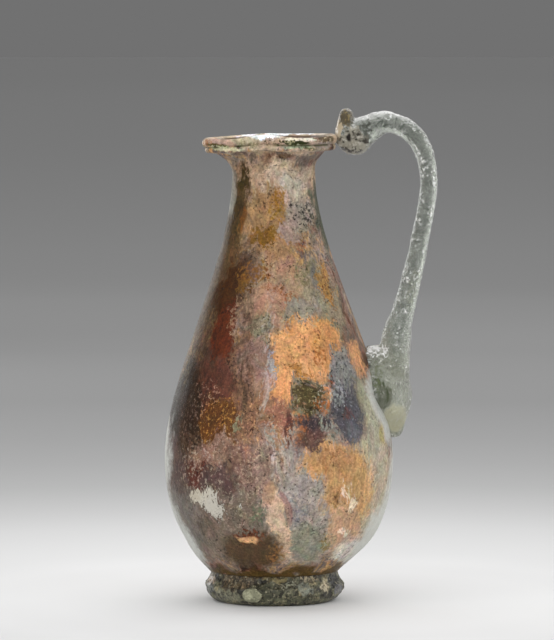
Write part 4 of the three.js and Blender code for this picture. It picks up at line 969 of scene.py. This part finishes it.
def make_pitted_glass():
    """The foot's glass is thick, so it looks dark grey-green. Burial pitted it, and buff soil and lime fill
    the pits and cling to the ridge."""
    material, tree = bare_material("pitted_coil_glass")
    place = in_millimetres(tree)
    ragged = strayed(tree, place, 1.2, 2.0, 4.0)
    flat = add(tree, "Mapping", {"Vector": ragged, "Scale": (1, 1, 1.8)})[0]
    patches = add(tree, "TexNoise", {"Vector": flat, "Scale": 0.3, "Detail": 4.0, "Roughness": 0.6})["Fac"]
    stops = [(level, paint(code)) for level, code in FOOT_GROUND]
    colour = add(tree, "ValToRGB", {"Fac": patches}, stops)["Color"]
    soft_bite = bitten(tree, place, 2.0, 0.5)
    deep_bite = bitten(tree, place, 0.9, 1.0)
    covers = {
        "speckled": grains(tree, place, 0.8, 0.44, 0.56, 3.0),
        "specks": grains(tree, place, 0.7, 0.53, 0.61, 3.0),
    }
    # brown soil along the top, in the seam to the body
    seam = spot(tree, ragged, (0, 0, 6.6), (19, 19, 2.1), 0, 0.4, soft_bite)
    colour = laid(tree, colour, "#46341a", seam, 0.95)
    edges = {"melted": (ragged, 0.4, soft_bite), "ragged": (ragged, 0.15, deep_bite)}
    for x, z, half_x, half_z, tilt, *finish in FOOT_MARKS:
        region = (x, -sqrt(FOOT_MARKS_AT - x * x), z), (half_x, 4, half_z), tilt
        colour, _ = marked(tree, colour, region, edges, covers, *finish)
    dark = grains(tree, place, 0.9, 0.52, 0.62, 4.0)
    colour = laid(tree, colour, "#1a160c", dark, 0.7)
    shifted = add(tree, "Mapping", {"Vector": place, "Location": (11, 7, 3)})[0]
    colour = laid(tree, colour, "#aaa185", grains(tree, shifted, 0.8, 0.56, 0.66, 4.0), 0.6)
    colour = uneven(tree, colour, place, 0.6, 0.65, 1.35, 2.0)
    height = add(tree, "Math", {0: dark, 1: -0.5, 2: patches}, operation="MULTIPLY_ADD")[0]
    rough = {"Value": patches, "From Min": 0.35, "From Max": 0.65, "To Min": 0.3, "To Max": 0.75}
    sockets = {"Base Color": colour, "Roughness": add(tree, "MapRange", rough)[0], "IOR": 1.5}
    return shaded(material, {**sockets, "Coat Weight": 0.15, "Coat Roughness": 0.2}, height, 0.4)


def make_broken_glass():
    """A fracture in clear glass, dulled by burial: bright shell-like faces, with soil in the hollows."""
    material, tree = bare_material("broken_glass_ring")
    place = in_millimetres(tree)
    patches = add(tree, "TexNoise", {"Vector": place, "Scale": 0.9, "Detail": 5.0, "Roughness": 0.7})["Fac"]
    soil = add(tree, "MapRange", {"Value": patches, "From Min": 0.42, "From Max": 0.6})[0]
    colour = laid(tree, paint("#96a296"), "#7d6e55", soil)
    clear = add(tree, "MapRange", {"Value": soil, "To Min": 0.5, "To Max": 0.0})[0]
    rough = add(tree, "MapRange", {"Value": soil, "To Min": 0.15, "To Max": 0.6})[0]
    sockets = {"Base Color": colour, "Roughness": rough, "IOR": 1.5, "Transmission Weight": clear}
    return shaded(material, sockets, patches, 0.3)


def make_lime_crust():
    """Lime from ground water, set hard: matt, chalky and pale, with grey-green stains and open pores."""
    material, tree = bare_material("lime_crust")
    place = in_millimetres(tree)
    cloud = add(tree, "TexNoise", {"Vector": place, "Scale": 0.8, "Detail": 5.0, "Roughness": 0.7})["Fac"]
    amount = add(tree, "MapRange", {"Value": cloud, "From Min": 0.38, "From Max": 0.62})[0]
    colour = laid(tree, paint("#7f7f68"), "#a9a88c", amount)
    pores = joined(tree, "MULTIPLY", grains(tree, place, 0.4, 0.60, 0.68, 3.0), 0.5)
    colour = laid(tree, colour, "#575038", pores)
    colour = uneven(tree, colour, place, 0.5, 0.75, 1.25, 2.0)
    height = add(tree, "Math", {0: pores, 1: -0.6, 2: cloud}, operation="MULTIPLY_ADD")[0]
    return shaded(material, {"Base Color": colour, "Roughness": 0.9}, height, 0.3)


vessel = make_vessel()
surface = BVHTree.FromBMesh(vessel)


def front(x, z):
    """The point of the vessel's photographed side at a distance from the axis and a height."""
    hit = surface.ray_cast(Vector((x, -60, z)), Vector((0, 1, 0)))[0]
    return hit if hit else Vector((x, 0, z))


finished(vessel, "vessel_glass", "blown_vessel", make_weathered_glass(front))
finished(make_foot(), "foot_coil", "foot_ring", make_pitted_glass())
finished(make_handle(), "handle_coil", "handle", make_clear_glass())
finished(make_scar(), "broken_ring", "pontil_scar", make_broken_glass())
finished(make_lime(), "lime_crust_lump", "lime_lump", make_lime_crust())

# Floor: one pale sheet with a pool of light painted on it, bright at the jug and darker away from it.
# Distances are in metres.
FLOOR_PAINTED_LIGHT = (
    (0, 0.71), (0.05, 0.706), (0.06, 0.688), (0.07, 0.683), (0.087, 0.635), (0.11, 0.596), (0.14, 0.543),
    (0.178, 0.457), (0.236, 0.36), (0.3, 0.307), (0.376, 0.268), (0.506, 0.231), (0.74, 0.237), (1.06, 0.286),
    (1.54, 0.277), (2.3, 0.258), (3.8, 0.239), (8.2, 0.23), (15, 0.22), (40, 0.22),
)
FLOOR_BEND = 0.5  # half of the painted light levels lie within this distance

material, tree = bare_material("studio_paper_painted_light")
far = add(tree, "VectorMath", {0: add(tree, "TexCoord")["Object"]}, operation="LENGTH")["Value"]
beyond = add(tree, "Math", {0: far, 1: FLOOR_BEND}, operation="ADD")[0]
share = add(tree, "Math", {0: far, 1: beyond}, operation="DIVIDE")[0]
stops = [(distance / (distance + FLOOR_BEND), (shade, shade, shade, 1)) for distance, shade in FLOOR_PAINTED_LIGHT]
floor_light_pool = add(tree, "ValToRGB", {"Fac": share}, stops)["Color"]
paper = add(tree, "BsdfPrincipled", {"Base Color": floor_light_pool, "Roughness": 0.9, "Specular IOR Level": 0.1})[0]
add(tree, "OutputMaterial", {"Surface": paper})
bm = bmesh.new()
bmesh.ops.create_circle(bm, cap_ends=True, radius=40, segments=96)
bmesh.ops.translate(bm, vec=(0, 0, -0.05 * MM), verts=bm.verts)
floor = as_object(bm, "studio_floor")
floor.data.materials.append(material)

# Light: an even studio, with a broad softbox overhead, a tall one on each side, one in front, one behind, and
# two narrow ones at the back that draw the rims. Each has its place, its width and height, and its power.
world = bpy.data.worlds.new("studio")
world.use_nodes = True
scene.world = world
tree = world.node_tree
tree.nodes.clear()
rays = add(tree, "LightPath")
seen = joined(tree, "MAXIMUM", rays["Is Camera Ray"], rays["Is Glossy Ray"], rays["Is Transmission Ray"])
lit = add(tree, "Background", {"Color": paint("#ffffff"), "Strength": 0.8})[0]
wall = add(tree, "Background", {"Color": paint("#717171"), "Strength": 1.0})[0]
both = add(tree, "MixShader", {0: seen, 1: lit, 2: wall})[0]
add(tree, "OutputWorld", {"Surface": both})

LAMPS = (
    ("overhead", (-0.05, 0.10, 0.85), (0.8, 0.6), 1.5),
    ("left", (-0.80, -0.55, 0.40), (0.35, 0.8), 1.9),
    ("right", (0.85, -0.45, 0.35), (0.3, 0.8), 1.6),
    ("front", (-0.30, -1.20, 0.70), (0.9, 0.6), 3.0),
    ("behind", (0.25, 0.75, 0.55), (0.6, 0.4), 1.4),
    ("left rim", (-0.36, 0.66, 0.16), (0.12, 0.6), 1.1),
    ("right rim", (0.62, 0.40, 0.20), (0.15, 0.6), 1.1),
)
middle = Vector((AXIS_X, 0, 0.05))
for name, place, (width, height), power in LAMPS:
    light = bpy.data.lights.new(name, "AREA")
    light.shape = "RECTANGLE"
    light.size, light.size_y = width, height
    light.energy = power
    lamp = bpy.data.objects.new(name, light)
    lamp.location = place
    lamp.rotation_euler = (middle - Vector(place)).to_track_quat("-Z", "Y").to_euler()
    lamp.visible_camera = False
    scene.collection.objects.link(lamp)

# Camera: level with the jug's middle, looking down by 3.5 degrees, with a long lens.
DISTANCE = 0.9
FRAME_HEIGHT = 0.128
look_down = radians(3.5)
target = Vector((AXIS_X + 0.6 * MM, 0, 56.1 * MM))
lens = bpy.data.cameras.new("camera")
lens.sensor_width = 36
lens.lens = lens.sensor_width * DISTANCE / FRAME_HEIGHT
camera = bpy.data.objects.new("camera", lens)
camera.location = target + DISTANCE * Vector((0, -cos(look_down), sin(look_down)))
camera.rotation_euler = (pi / 2 - look_down, 0, 0)
scene.collection.objects.link(camera)
scene.camera = camera

scene.view_settings.view_transform = "Standard"
